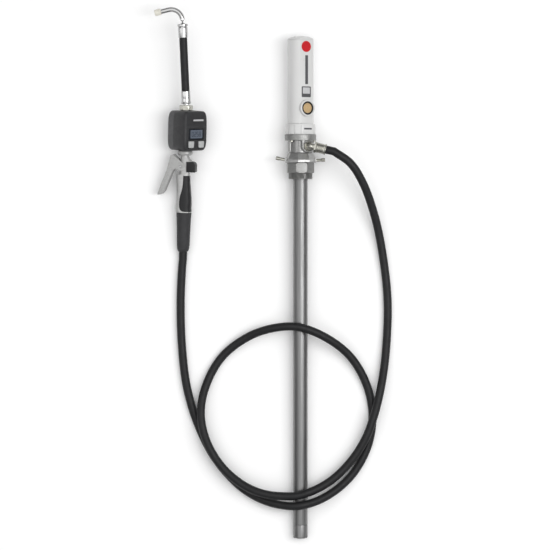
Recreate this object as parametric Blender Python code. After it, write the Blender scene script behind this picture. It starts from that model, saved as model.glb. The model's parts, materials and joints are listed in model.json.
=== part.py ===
"""Air operated drum barrel pump, laid out on a floor with its delivery hose and metered oil gun.

Metres, +Z up. The pump lies along +Y with its foot at the -Y end and rests on its foot and its cast
flange. The hose leaves the pump on the +X side, makes one loop over the suction tube and runs to the
gun on the -X side. Each assembly is modelled upright in a frame (an empty) of its own, whose +Z runs
from the foot to the motor, or from the hose end of the gun to its nozzle, and whose -Y faces up from
the floor once the frame is laid down.
"""
import math

import bmesh
import bpy
from mathutils import Vector

# Shared fits
GAP = 0.0003            # between two pieces that touch
SLACK = 0.0004          # more room, round a piece that turns or slides
SIDES = 24              # round pieces
SMALL_SIDES = 12        # small round pieces
MOTOR_SIDES = 32

# Pump: heights along its axis, measured from the foot
TUBE_RADIUS = 0.0175
TUBE_BORE = 0.0155
FOOT_TOP = 0.0326
THREAD_BOTTOM = 0.8738
COLLAR_BOTTOM = 0.8886
COLLAR_TOP = 0.9133
WING_TOP = 0.9368
NECK_BOTTOM = 0.9375
TUBE_TOP = 0.9610
FLANGE_BOTTOM = 0.9674
FLANGE_TOP = 0.9822
BASE_TOP = 1.0075
CYLINDER_TOP = 1.2115
CAP_TOP = 1.2208

# Pump: radii and directions
THREAD_RADIUS = 0.0298          # two inch bung thread
COLLAR_RADIUS = 0.0350          # across the corners of its eight flats
WING_RADIUS = 0.0376
NECK_RADIUS = 0.0280
FLANGE_RADIUS = 0.0384
BASE_RADIUS = 0.0363
CYLINDER_RADIUS = 0.0315
CYLINDER_BORE = 0.0235
ROD_RADIUS = 0.0050
LABEL_TURN = math.radians(32)   # the flat side faces this far towards +X
LABEL_FLAT = 0.0260             # axis to the flat side
SILENCER_HEIGHT = 1.0456
STROKE_START = 1.0203           # underside of the air piston at the bottom of its stroke
OUTLET_HEIGHT = 0.9532
OUTLET_RISE = math.radians(58)  # the outlet boss faces this far up from +X, as the flat side does
BOSS_RADIUS = 0.0154
BOSS_FACE = 0.0335              # axis to the face of the outlet boss
HEX_TOP = 0.0382                # axis to the end of the outlet nipple's hexagon
ELBOW = 0.0460                  # axis to the bend of the outlet nipple
HOSE_DIP = math.radians(13)     # the hose leaves this far towards the foot
HOSE_RISE = math.radians(4)     # and this far up from the floor

# Hose
HOSE_RADIUS = 0.0103
HOSE_STEP = 0.041               # between the points of the finished tube

# Gun: heights along its axis, measured from the hose end of its boot
BOOT_TOP = 0.0950
GRIP_BOTTOM = 0.0955
GRIP_TOP = 0.1880
NECK_TOP = 0.2400
METER_HEIGHT = 0.2952           # middle of the meter
SPOUT_HEIGHT = 0.3566
PIVOT = (-0.0085, 0.2080)       # lever pin: across and along the gun
VALVE_HEIGHT = 0.2000
LEVER_HALF_WIDTH = 0.0125
LEVER_PLATE = 0.0020
GRIP_ROLL = math.radians(-10)
METER_ROLL = math.radians(43)
SPOUT_LEAN = math.radians(-3.8)

# Meter: half sizes of its case, whose flow axis lies behind the middle
METER_HALF_WIDTH = 0.0368
METER_HALF_LENGTH = 0.0478
METER_FRONT = -0.0395
METER_BACK = 0.0275
METER_CORNER = 0.0065
CASE_SPLIT = 0.0041
GEAR_CENTRE = 0.0097
GEAR_TEETH = 12

# Where the assemblies lie
ORIGIN = Vector((0.0025, -0.0016, 0.0003))      # middle of the kit on the floor, without its hose
PUMP_PLACE = Vector((0.1474, -0.6457, TUBE_RADIUS + GAP))
PUMP_LIFT = math.radians(1.24)
GUN_PLACE = Vector((-0.1385, 0.0527, 0.0146))
GUN_LIFT = math.radians(6.0)
GUN_LEAN = math.radians(-1.4)

FINISHES = {
    "white paint": ((0.80, 0.80, 0.79), 0.35, 0.0),
    "cast aluminium": ((0.47, 0.47, 0.46), 0.45, 0.9),
    "zinc plate": ((0.60, 0.59, 0.55), 0.28, 1.0),
    "galvanised tube": ((0.38, 0.38, 0.38), 0.35, 1.0),
    "chrome": ((0.82, 0.82, 0.82), 0.12, 1.0),
    "steel": ((0.55, 0.55, 0.56), 0.25, 1.0),
    "bronze": ((0.62, 0.46, 0.25), 0.70, 0.6),
    "brass": ((0.75, 0.60, 0.28), 0.30, 1.0),
    "hose rubber": ((0.03, 0.03, 0.032), 0.55, 0.0),
    "boot rubber": ((0.06, 0.06, 0.062), 0.60, 0.0),
    "grip rubber": ((0.025, 0.025, 0.027), 0.50, 0.0),
    "case plastic": ((0.05, 0.05, 0.052), 0.50, 0.0),
    "case metal": ((0.16, 0.16, 0.165), 0.45, 0.6),
    "seal rubber": ((0.02, 0.02, 0.02), 0.60, 0.0),
    "white plastic": ((0.82, 0.80, 0.74), 0.40, 0.0),
    "key plastic": ((0.62, 0.63, 0.64), 0.45, 0.0),
    "window": ((0.02, 0.025, 0.03), 0.08, 0.0),
    "display": ((0.30, 0.34, 0.40), 0.30, 0.0),
    "circuit board": ((0.03, 0.16, 0.07), 0.45, 0.0),
}


# Making and joining solids

def finish_material(name):
    """One material for each finish, made the first time it is asked for."""
    found = bpy.data.materials.get(name)
    if found:
        return found
    colour, roughness, metallic = FINISHES[name]
    made = bpy.data.materials.new(name)
    made.use_nodes = True
    shader = made.node_tree.nodes["Principled BSDF"]
    shader.inputs["Base Color"].default_value = (*colour, 1.0)
    shader.inputs["Roughness"].default_value = roughness
    shader.inputs["Metallic"].default_value = metallic
    return made


def add_frame(name, parent, place, turn):
    """An empty that an assembly or a moving piece is modelled in."""
    frame = bpy.data.objects.new(name, None)
    bpy.context.collection.objects.link(frame)
    frame.parent = parent
    frame.location = place
    frame.rotation_euler = turn
    return frame


def add_solid(name, points, faces, finish, frame, place=(0, 0, 0), turn=(0, 0, 0)):
    """A closed mesh from its points and faces; a solid with no finish is a tool."""
    mesh = bpy.data.meshes.new(name)
    shape = bmesh.new()
    corners = [shape.verts.new(point) for point in points]
    for face in faces:
        shape.faces.new([corners[index] for index in face])
    bmesh.ops.recalc_face_normals(shape, faces=shape.faces)
    shape.to_mesh(mesh)
    shape.free()
    mesh.shade_smooth()
    mesh.set_sharp_from_angle(angle=math.radians(35))
    solid = bpy.data.objects.new(name, mesh)
    bpy.context.collection.objects.link(solid)
    solid.parent = frame
    solid.location = place
    solid.rotation_euler = turn
    if finish:
        mesh.materials.append(finish_material(finish))
    else:
        solid.hide_render = True
        solid.display_type = "WIRE"
    return solid


def turned(name, outline, finish, frame, sides=SIDES, **pose):
    """A round solid from (radius, height) points: from axis to axis, or a closed ring."""
    points = []
    rings = []
    for radius, height in outline:
        count = sides if radius > 0 else 1
        rings.append(range(len(points), len(points) + count))
        for step in range(count):
            angle = math.tau * step / sides
            points.append((radius * math.cos(angle), radius * math.sin(angle), height))
    pairs = list(zip(rings, rings[1:]))
    if outline[0][0] > 0:
        pairs.append((rings[-1], rings[0]))
    faces = []
    for low, high in pairs:
        for step in range(sides):
            after = step + 1
            corners = (low[step % len(low)], low[after % len(low)],
                       high[after % len(high)], high[step % len(high)])
            faces.append(tuple(dict.fromkeys(corners)))
    return add_solid(name, points, faces, finish, frame, **pose)


def rod(name, radius, low, high, finish, frame, sides=SMALL_SIDES, **pose):
    """A plain round bar along its frame's Z."""
    outline = [(0, low), (radius, low), (radius, high), (0, high)]
    return turned(name, outline, finish, frame, sides, **pose)


def pipe(name, bore, radius, low, high, finish, frame, sides=SIDES, **pose):
    """A plain ring or tube along its frame's Z."""
    outline = [(bore, low), (radius, low), (radius, high), (bore, high)]
    return turned(name, outline, finish, frame, sides, **pose)


def loft(name, rings, finish, frame, **pose):
    """A solid through rings of points, with flat ends."""
    points = [point for ring in rings for point in ring]
    count = len(rings[0])
    faces = [tuple(range(count)), tuple(range(len(points) - count, len(points)))]
    for level in range(len(rings) - 1):
        for step in range(count):
            after = (step + 1) % count
            low = level * count
            high = low + count
            faces.append((low + step, low + after, high + after, high + step))
    return add_solid(name, points, faces, finish, frame, **pose)


def prism(name, outline, low, high, finish, frame, **pose):
    """A flat outline (x, y), extruded along Z."""
    rings = [[(x, y, height) for x, y in outline] for height in (low, high)]
    return loft(name, rings, finish, frame, **pose)


def side_prism(name, outline, half_width, finish, frame):
    """A side view (x, z), extruded both ways along Y."""
    rings = [[(x, y, z) for x, z in outline] for y in (-half_width, half_width)]
    return loft(name, rings, finish, frame)


def block(name, low, high, finish, frame, **pose):
    """A box between two corners."""
    outline = [(low[0], low[1]), (high[0], low[1]), (high[0], high[1]), (low[0], high[1])]
    return prism(name, outline, low[2], high[2], finish, frame, **pose)


def shape_with(target, operation, *tools):
    """Cut, join or keep the common part of a solid with each tool."""
    for tool in tools:
        step = target.modifiers.new(tool.name, "BOOLEAN")
        step.operation = operation
        step.solver = "EXACT"
        step.object = tool


def cut(target, *tools):
    shape_with(target, "DIFFERENCE", *tools)


def join(target, *tools):
    shape_with(target, "UNION", *tools)


def along_x(direction=1):
    """The turn that lays a round tool's axis along +X or -X."""
    return (0, direction * math.pi / 2, 0)


def along_y():
    """The turn that lays a round tool's axis along -Y."""
    return (math.pi / 2, 0, 0)


def label_turn():
    """The turn that points a tool's axis out of the flat side of the motor."""
    return (math.pi / 2, 0, LABEL_TURN)


# Pump: the part in the drum

def make_foot(pump):
    body = turned("foot_valve_body", [
        (0.0090, 0.0), (0.0155, 0.0), (TUBE_RADIUS, 0.0025), (TUBE_RADIUS, FOOT_TOP),
        (0.0152, FOOT_TOP), (0.0152, 0.0420), (0.0105, 0.0420), (0.0105, 0.0180),
        (0.0060, 0.0160), (0.0060, 0.0120), (0.0090, 0.0105),
    ], "galvanised tube", pump)
    notch = [(-0.0055, -0.0010), (0.0055, -0.0010), (0.0, 0.0100)]
    for index in range(3):
        rings = [[(x, y, z) for x, z in notch] for y in (0.0080, 0.0200)]
        turn = (0, 0, math.radians(128 + 120 * index))
        cut(body, loft(f"foot_notch_{index}", rings, None, pump, turn=turn))
    pin_height = 0.0363
    cut(body, rod("pin_hole", 0.0018, -0.0180, 0.0180, None, pump,
                  place=(0, 0, pin_height), turn=along_x()))
    rod("foot_stop_pin", 0.0015, -0.0145, 0.0145, "steel", pump,
        place=(0, 0, pin_height), turn=along_x())


def make_ball(name, radius, height, pump):
    """A check ball whose origin is at its centre."""
    steps = 8
    outline = [(0, -radius)]
    for step in range(1, steps):
        angle = math.pi * step / steps - math.pi / 2
        outline.append((radius * math.cos(angle), radius * math.sin(angle)))
    outline.append((0, radius))
    turned(name, outline, "steel", pump, 16, place=(0, 0, height))


def make_tube(pump, outlet):
    tube = pipe("suction_tube", TUBE_BORE, TUBE_RADIUS, FOOT_TOP + GAP, TUBE_TOP, "galvanised tube",
                pump)
    cut(tube, rod("tube_port", 0.0045, 0.0050, 0.0200, None, outlet))


def make_reciprocating(piston):
    """Air piston, rod and plunger; their frame is at the bottom of the stroke."""
    base = STROKE_START
    plunger_low = 0.0600 - base
    plunger_top = 0.0880 - base
    plunger = turned("plunger", [
        (0.0050, plunger_low), (0.0142, plunger_low), (0.0151, plunger_low + 0.001),
        (0.0151, plunger_top), (0.0085, plunger_top), (0.0085, plunger_low + 0.008),
        (0.0050, plunger_low + 0.008),
    ], "steel", piston)
    for name, turn in (("port_x", along_x()), ("port_y", along_y())):
        cut(plunger, rod(name, 0.0022, -0.0200, 0.0200, None, piston,
                         place=(0, 0, plunger_top - 0.005), turn=turn))
    foot = plunger_top + GAP
    turned("pump_rod", [
        (0, foot), (0.0110, foot), (0.0110, foot + 0.004), (ROD_RADIUS, foot + 0.006),
        (ROD_RADIUS, -GAP), (0.0040, -GAP), (0.0040, 0.0250), (0, 0.0250),
    ], "steel", piston, SMALL_SIDES)
    turned("air_piston", [
        (0.0043, 0), (0.0230, 0), (0.0230, 0.0057), (0.0200, 0.0057), (0.0200, 0.0107),
        (0.0230, 0.0107), (0.0230, 0.0170), (0.0043, 0.0170),
    ], "steel", piston)
    pipe("air_piston_seal", 0.0203, 0.0232, 0.0060, 0.0104, "seal rubber", piston)


# Pump: bung adapter and its wing nut

def make_bung_adapter(adapter):
    """Origin at the underside of the eight sided collar, which seats on the drum."""
    low = THREAD_BOTTOM - COLLAR_BOTTOM
    bore = TUBE_RADIUS + GAP
    body = turned("bung_adapter", [
        (bore, low), (THREAD_RADIUS - 0.002, low), (THREAD_RADIUS, low + 0.002),
        (THREAD_RADIUS, 0.002), (0.0260, 0.002), (0.0260, 0.0310), (bore, 0.0310),
    ], "cast aluminium", adapter)
    top = COLLAR_TOP - COLLAR_BOTTOM
    collar = turned("collar_tool", [
        (0.0200, 0), (COLLAR_RADIUS - 0.0015, 0), (COLLAR_RADIUS, 0.0025),
        (COLLAR_RADIUS, top - 0.0025), (COLLAR_RADIUS - 0.0015, top), (0.0200, top),
    ], None, adapter, 8, turn=(0, 0, math.radians(-18)))
    join(body, collar)
    cut(body, block("key_slot", (0.0095, -0.0310, low - 0.001), (0.0125, -0.0230, -0.002),
                    None, adapter))
    pipe("clamp_ring", bore, 0.0250, 0.0313, 0.0410, "seal rubber", adapter)


def wing_arm(name, side, root, tip, wing):
    """One round handle with a thicker end, from its socket in the rim outwards."""
    reach = Vector((side * (tip[0] - root[0]), 0, tip[1] - root[1]))
    length = reach.length
    turn = (0, math.atan2(reach.x, reach.z), 0)
    turned(name, [
        (0, 0), (0.0038, 0), (0.0038, length - 0.008), (0.0046, length - 0.006),
        (0.0046, length - 0.001), (0.0038, length), (0, length),
    ], "zinc plate", wing, SMALL_SIDES, place=(side * root[0], 0, root[1]), turn=turn)
    return rod(f"{name}_socket", 0.0042, -0.0005, length, None, wing,
               place=(side * root[0], 0, root[1]), turn=turn)


def make_wing_nut(wing):
    """Origin on the pump axis at the underside of the rim."""
    rim = 0.0070
    top = WING_TOP - COLLAR_TOP - 0.0004
    body = turned("wing_nut", [
        (0, 0), (WING_RADIUS - 0.001, 0), (WING_RADIUS, 0.0010), (WING_RADIUS, rim),
        (0.0362, rim + 0.001), (0.0312, top - 0.001), (0.0298, top), (0, top),
    ], "cast aluminium", wing, 8, turn=(0, 0, math.radians(-9.6)))
    for side, tip in ((-1, (0.0600, 0.0115)), (1, (0.0600, 0.0070))):
        name = "wing_handle_left" if side < 0 else "wing_handle_right"
        root = (0.0285, 0.0053)
        lug = side_prism(f"{name}_lug", [
            (side * 0.0275, 0.0004), (side * 0.0386, 0.0006), (side * 0.0384, 0.0122),
            (side * 0.0277, 0.0126),
        ], 0.0066, None, wing)
        join(body, lug)
        cut(body, wing_arm(name, side, root, tip, wing))
    cut(body, turned("wing_bore", [
        (0, -0.001), (0.0264, -0.001), (0.0264, 0.0168), (0.0180, 0.0178), (0.0180, top + 0.001),
        (0, top + 0.001),
    ], None, wing))


# Pump: head

def make_outlet_body(pump, outlet):
    body = turned("outlet_body", [
        (0.0178, NECK_BOTTOM), (NECK_RADIUS - 0.001, NECK_BOTTOM), (NECK_RADIUS, NECK_BOTTOM + 0.001),
        (NECK_RADIUS, FLANGE_BOTTOM - 0.001), (NECK_RADIUS + 0.001, FLANGE_BOTTOM),
        (FLANGE_RADIUS - 0.001, FLANGE_BOTTOM),
        (FLANGE_RADIUS, FLANGE_BOTTOM + 0.001), (FLANGE_RADIUS, FLANGE_TOP - 0.001),
        (FLANGE_RADIUS - 0.001, FLANGE_TOP), (0.0090, FLANGE_TOP), (0.0090, 0.9750),
        (0.0120, 0.9750), (0.0120, TUBE_TOP + GAP), (0.0178, TUBE_TOP + GAP),
    ], "cast aluminium", pump)
    boss_foot = 0.0205
    boss = turned("boss_tool", [
        (0, boss_foot), (BOSS_RADIUS, boss_foot), (BOSS_RADIUS, BOSS_FACE - 0.001),
        (BOSS_RADIUS - 0.001, BOSS_FACE), (0, BOSS_FACE),
    ], None, outlet)
    rise = FLANGE_BOTTOM + 0.001 - OUTLET_HEIGHT
    half_width = BOSS_RADIUS - 0.0002
    pad = block("boss_pad", (-rise, -half_width, boss_foot + 0.001), (0, half_width, BOSS_FACE - 0.0002),
                None, outlet)
    join(body, boss, pad)
    cut(body, turned("outlet_bore", [
        (0, 0), (0.0045, 0), (0.0045, 0.0225), (0.0093, 0.0225), (0.0093, 0.0350), (0, 0.0350),
    ], None, outlet))
    for index, place in enumerate(screw_places()):
        cut(body, rod(f"flange_hole_{index + 1}", 0.0023, FLANGE_BOTTOM - 0.004, FLANGE_TOP + 0.001,
                      None, pump, place=place))
    pipe("packing_gland", ROD_RADIUS + SLACK, 0.0087, 0.9753, FLANGE_TOP - GAP, "seal rubber", pump)


def screw_places():
    """Four flange screws, spaced round the outlet boss."""
    circle = 0.0333
    places = []
    for angle in (50, 130, 230, 350):
        turn = math.radians(angle)
        places.append((circle * math.cos(turn), circle * math.sin(turn), 0))
    return places


def make_flange_screws(pump):
    head_top = FLANGE_BOTTOM - GAP
    for index, place in enumerate(screw_places()):
        turned(f"flange_screw_{index + 1}", [
            (0, head_top - 0.0040), (0.0034, head_top - 0.0040), (0.0036, head_top - 0.0036),
            (0.0036, head_top), (0.0020, head_top), (0.0020, 0.9980), (0, 0.9980),
        ], "zinc plate", pump, SMALL_SIDES, place=place)


def make_outlet_fittings(outlet, hose_end):
    nipple = turned("outlet_nipple", [
        (0.0055, 0.0228), (0.0090, 0.0228), (0.0090, HEX_TOP), (0.0086, ELBOW - 0.002),
        (0.0070, ELBOW + 0.003), (0.0055, ELBOW + 0.003),
    ], "zinc plate", outlet)
    hexagon = turned("nipple_hex", [
        (0.0070, BOSS_FACE + GAP), (0.0118, BOSS_FACE + GAP), (0.0125, BOSS_FACE + 0.0010),
        (0.0125, HEX_TOP - 0.0007), (0.0118, HEX_TOP), (0.0070, HEX_TOP),
    ], None, outlet, 6)
    join(nipple, hexagon)
    turned("swivel_nut", [
        (0.0083, 0.0092), (0.0128, 0.0092), (0.0135, 0.0099), (0.0135, 0.0132), (0.0128, 0.0140),
        (0.0083, 0.0140),
    ], "zinc plate", hose_end, 6)
    turned("hose_ferrule_pump", [
        (0.0050, 0.0088), (0.0070, 0.0088), (0.0070, 0.0143), (0.0120, 0.0143), (0.0124, 0.0150),
        (0.0124, 0.0345), (0.0131, 0.0355), (0.0131, 0.0380), (0.0050, 0.0380),
    ], "zinc plate", hose_end)


# Pump: air motor

def flat_side_tool(name, distance, low, high, frame):
    """Everything beyond the flat side of the motor."""
    reach = 0.060
    return block(name, (-reach, -reach, low), (reach, -distance, high), None, frame,
                 turn=(0, 0, LABEL_TURN))


def make_motor_base(pump):
    body = turned("motor_base", [
        (0.0055, FLANGE_TOP + GAP), (BASE_RADIUS - 0.0005, FLANGE_TOP + GAP),
        (BASE_RADIUS, FLANGE_TOP + 0.001), (BASE_RADIUS, BASE_TOP - 0.001),
        (BASE_RADIUS - 0.001, BASE_TOP), (0.0232, BASE_TOP), (0.0232, BASE_TOP + 0.0065),
        (0.0055, BASE_TOP + 0.0065),
    ], "white paint", pump)
    cut(body, flat_side_tool("base_flat", 0.0335, FLANGE_TOP, BASE_TOP + 0.001, pump))
    spool_place = (0, 0.0160, 0.9950)
    cut(body, rod("spool_bore", 0.0055, -0.0400, 0.0180, None, pump,
                  place=spool_place, turn=along_x()))
    inlet_place = (0, 0, 0.9950)
    cut(body, rod("inlet_bore", 0.0066, -0.0400, -0.0240, None, pump,
                  place=inlet_place, turn=along_x()))
    for index, place in enumerate(screw_places()):
        cut(body, rod(f"base_hole_{index + 1}", 0.0023, FLANGE_TOP - 0.001, 0.9985, None, pump,
                      place=place))
    rod("valve_plug", 0.0052, -0.0305, -0.0245, "brass", pump, place=spool_place, turn=along_x())
    pipe("air_inlet_bushing", 0.0035, 0.0063, -0.0355, -0.0243, "brass", pump, SMALL_SIDES,
         place=inlet_place, turn=along_x())
    spool = add_frame("spool_frame", pump, spool_place, along_x())
    turned("air_valve_spool", [
        (0, -0.0190), (0.0051, -0.0190), (0.0051, -0.0130), (0.0030, -0.0120), (0.0030, 0.0020),
        (0.0051, 0.0030), (0.0051, 0.0095), (0, 0.0095),
    ], "steel", spool, SMALL_SIDES)


def make_motor_cylinder(pump):
    low = BASE_TOP + GAP
    body = turned("motor_cylinder", [
        (CYLINDER_BORE, low), (CYLINDER_RADIUS - 0.0005, low), (CYLINDER_RADIUS, low + 0.0005),
        (CYLINDER_RADIUS, CYLINDER_TOP), (CYLINDER_BORE, CYLINDER_TOP),
    ], "white paint", pump, MOTOR_SIDES)
    cut(body, flat_side_tool("cylinder_flat", LABEL_FLAT, low - 0.001, CYLINDER_TOP + 0.001, pump))
    pose = {"place": (0, 0, SILENCER_HEIGHT), "turn": label_turn()}
    join(body, turned("silencer_boss", [
        (0, 0.0245), (0.0200, 0.0245), (0.0200, 0.0328), (0.0188, 0.0338), (0, 0.0338),
    ], None, pump, **pose))
    cut(body, rod("silencer_recess", 0.0164, 0.0305, 0.0350, None, pump, SIDES, **pose))
    cut(body, rod("exhaust_hole", 0.0060, 0.0180, 0.0350, None, pump, **pose))
    pipe("silencer_ring", 0.0124, 0.0161, 0.0308, 0.0330, "seal rubber", pump, **pose)
    turned("silencer_disc", [
        (0, 0.0308), (0.0121, 0.0308), (0.0121, 0.0320), (0.0090, 0.0326), (0, 0.0328),
    ], "bronze", pump, **pose)


def make_motor_cap(pump):
    low = CYLINDER_TOP + GAP
    radius = CYLINDER_RADIUS
    body = turned("motor_top_cap", [
        (0, low - 0.006), (0.0232, low - 0.006), (0.0232, low), (radius, low), (radius, low + 0.0012),
        (radius - 0.001, low + 0.0032), (radius - 0.004, low + 0.0052), (0.0190, low + 0.0076),
        (0.0095, CAP_TOP - 0.0004), (0, CAP_TOP),
    ], "white paint", pump, MOTOR_SIDES)
    cut(body, flat_side_tool("cap_flat", LABEL_FLAT, low - 0.0001, CAP_TOP + 0.001, pump))


def make_pump():
    pump = add_frame("pump_frame", None, PUMP_PLACE - ORIGIN, (PUMP_LIFT - math.pi / 2, 0, 0))
    piston = add_frame("piston_frame", pump, (0, 0, STROKE_START), (0, 0, 0))
    adapter = add_frame("adapter_frame", pump, (0, 0, COLLAR_BOTTOM), (0, 0, 0))
    wing = add_frame("wing_frame", adapter, (0, 0, COLLAR_TOP - COLLAR_BOTTOM + SLACK), (0, 0, 0))
    outlet = add_frame("outlet_frame", pump, (0, 0, OUTLET_HEIGHT), (0, math.pi / 2, -OUTLET_RISE))
    hose_end = make_hose_end_frame(outlet)
    make_foot(pump)
    make_ball("foot_ball", 0.0080, 0.0216, pump)
    make_tube(pump, outlet)
    make_reciprocating(piston)
    make_ball("plunger_ball", 0.0063, 0.0722, pump)
    make_bung_adapter(adapter)
    make_wing_nut(wing)
    make_outlet_body(pump, outlet)
    make_flange_screws(pump)
    make_outlet_fittings(outlet, hose_end)
    make_motor_base(pump)
    make_motor_cylinder(pump)
    make_motor_cap(pump)
    return hose_end


def make_hose_end_frame(outlet):
    """A frame at the nipple's bend, whose +Z points along the hose."""
    bpy.context.view_layer.update()
    bend = outlet.matrix_world @ Vector((0, 0, ELBOW))
    frame = add_frame("hose_end_frame", None, bend, (0, math.pi / 2 - HOSE_RISE, -HOSE_DIP))
    bpy.context.view_layer.update()
    return frame


# Hose

def hose_route():
    """Points that the middle of the hose passes, from past its fitting to just before the gun."""
    return [
        (0.268, 0.2650, 0.0765), (0.298, 0.2190, 0.0610), (0.325, 0.1480, 0.0360), (0.344, 0.0680, 0.0165),
        (0.360, -0.066, 0.0110), (0.355, -0.200, 0.0140), (0.343, -0.280, 0.0265),
        (0.327, -0.345, 0.0325), (0.304, -0.406, 0.0318), (0.265, -0.464, 0.0322),
        (0.214, -0.510, 0.0385), (0.150, -0.5385, 0.0500), (0.107, -0.542, 0.0488),
        (0.054, -0.535, 0.0475), (0.003, -0.512, 0.0410), (-0.048, -0.466, 0.0350),
        (-0.083, -0.404, 0.0325), (-0.095, -0.338, 0.0280), (-0.081, -0.270, 0.0165),
        (-0.042, -0.203, 0.0120), (0.025, -0.153, 0.0275), (0.093, -0.132, 0.0512),
        (0.146, -0.132, 0.0588), (0.209, -0.157, 0.0485), (0.268, -0.203, 0.0250),
        (0.307, -0.268, 0.0120), (0.323, -0.340, 0.0110), (0.313, -0.418, 0.0113),
        (0.273, -0.492, 0.0185), (0.209, -0.544, 0.0360), (0.146, -0.565, 0.0498),
        (0.100, -0.564, 0.0390), (0.050, -0.550, 0.0250), (-0.002, -0.518, 0.0135),
        (-0.062, -0.450, 0.0110), (-0.104, -0.365, 0.0110), (-0.130, -0.275, 0.0110),
        (-0.142, -0.170, 0.0110), (-0.1445, -0.066, 0.0110), (-0.141, 0.012, 0.0118),
    ]


def smooth_curve(route, step):
    """Evenly spaced points on a centripetal Catmull-Rom curve through the route."""
    knots = [2 * route[0] - route[1], *route, 2 * route[-1] - route[-2]]
    fine = []
    for index in range(1, len(knots) - 2):
        fine.extend(curve_piece(knots[index - 1:index + 3], 24))
    fine.append(route[-1])
    spans = [(b - a).length for a, b in zip(fine, fine[1:])]
    count = round(sum(spans) / step)
    spacing = sum(spans) / count
    points = [fine[0]]
    travelled = 0.0
    for start, end, span in zip(fine, fine[1:], spans):
        while len(points) < count and travelled + span >= spacing * len(points):
            part = (spacing * len(points) - travelled) / span
            points.append(start.lerp(end, part))
        travelled += span
    points.append(fine[-1])
    return points


def curve_piece(knots, count):
    """Points on the stretch between the two middle knots."""
    times = [0.0]
    for a, b in zip(knots, knots[1:]):
        times.append(times[-1] + math.sqrt((b - a).length))
    points = []
    for step in range(count):
        time = times[1] + (times[2] - times[1]) * step / count
        level = list(knots)
        for width in (1, 2):
            level = [
                level[i].lerp(level[i + 1], (time - times[i]) / (times[i + width] - times[i]))
                for i in range(len(level) - 1)
            ]
        low, high = level
        points.append(low.lerp(high, (time - times[1]) / (times[2] - times[1])))
    return points


def make_hose(hose_end, gun):
    """The delivery hose, which starts and ends straight, face to face with the ferrule and the boot."""
    bpy.context.view_layer.update()
    first = hose_end.matrix_world @ Vector((0, 0, 0.0380 + GAP))
    second = hose_end.matrix_world @ Vector((0, 0, 0.0580))
    last = gun.matrix_world @ Vector((0, 0, -GAP))
    before_last = gun.matrix_world @ Vector((0, 0, -0.0200))
    middle = [Vector(point) - ORIGIN for point in hose_route()]
    points = [first, *smooth_curve([second, *middle, before_last], HOSE_STEP), last]
    curve = bpy.data.curves.new("delivery_hose", "CURVE")
    curve.dimensions = "3D"
    curve.bevel_depth = HOSE_RADIUS
    curve.bevel_resolution = 2
    curve.use_fill_caps = True
    spline = curve.splines.new("POLY")
    spline.points.add(len(points) - 1)
    for point, place in zip(spline.points, points):
        point.co = (*place, 1.0)
    hose = bpy.data.objects.new("delivery_hose", curve)
    curve.materials.append(finish_material("hose rubber"))
    bpy.context.collection.objects.link(hose)


# Gun: handle and lever

def oval(left, right, half_depth, height, roundness=2.6, count=20):
    """A rounded cross-section between a left and a right edge."""
    middle = (left + right) / 2
    half = (right - left) / 2
    ring = []
    for step in range(count):
        angle = math.tau * step / count
        across = math.copysign(abs(math.cos(angle)) ** (2 / roundness), math.cos(angle))
        deep = math.copysign(abs(math.sin(angle)) ** (2 / roundness), math.sin(angle))
        ring.append((middle + half * across, half_depth * deep, height))
    return ring


def grip_rings(inset):
    """Cross-sections of the grip: height, left edge, right edge, half depth."""
    sections = [
        (GRIP_BOTTOM, -0.0190, 0.0182, 0.0182), (0.0990, -0.0196, 0.0180, 0.0180),
        (0.1080, -0.0204, 0.0174, 0.0172), (0.1220, -0.0192, 0.0178, 0.0165),
        (0.1400, -0.0188, 0.0164, 0.0152), (0.1600, -0.0190, 0.0146, 0.0142),
        (0.1780, -0.0200, 0.0134, 0.0136), (GRIP_TOP, -0.0206, 0.0130, 0.0132),
    ]
    return [
        oval(left + inset, right - inset, depth - inset, height)
        for height, left, right, depth in sections
    ]


def insert_region(name, grow, handle):
    """The part of the grip, seen from the side, that the rubber insert covers."""
    left = [
        (0.0120, 0.0975), (0.0020, 0.0982), (-0.0040, 0.1005), (-0.0080, 0.1070),
        (-0.0092, 0.1200), (-0.0078, 0.1340), (-0.0044, 0.1470), (-0.0018, 0.1600),
        (-0.0010, 0.1720),
    ]
    top = 0.1850
    outline = [(x - grow, z - grow) for x, z in left]
    outline += [(-0.0008 - grow, top + grow), (0.0300, top + grow), (0.0300, 0.0975 - grow)]
    return side_prism(name, outline, 0.0250, None, handle)


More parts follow.
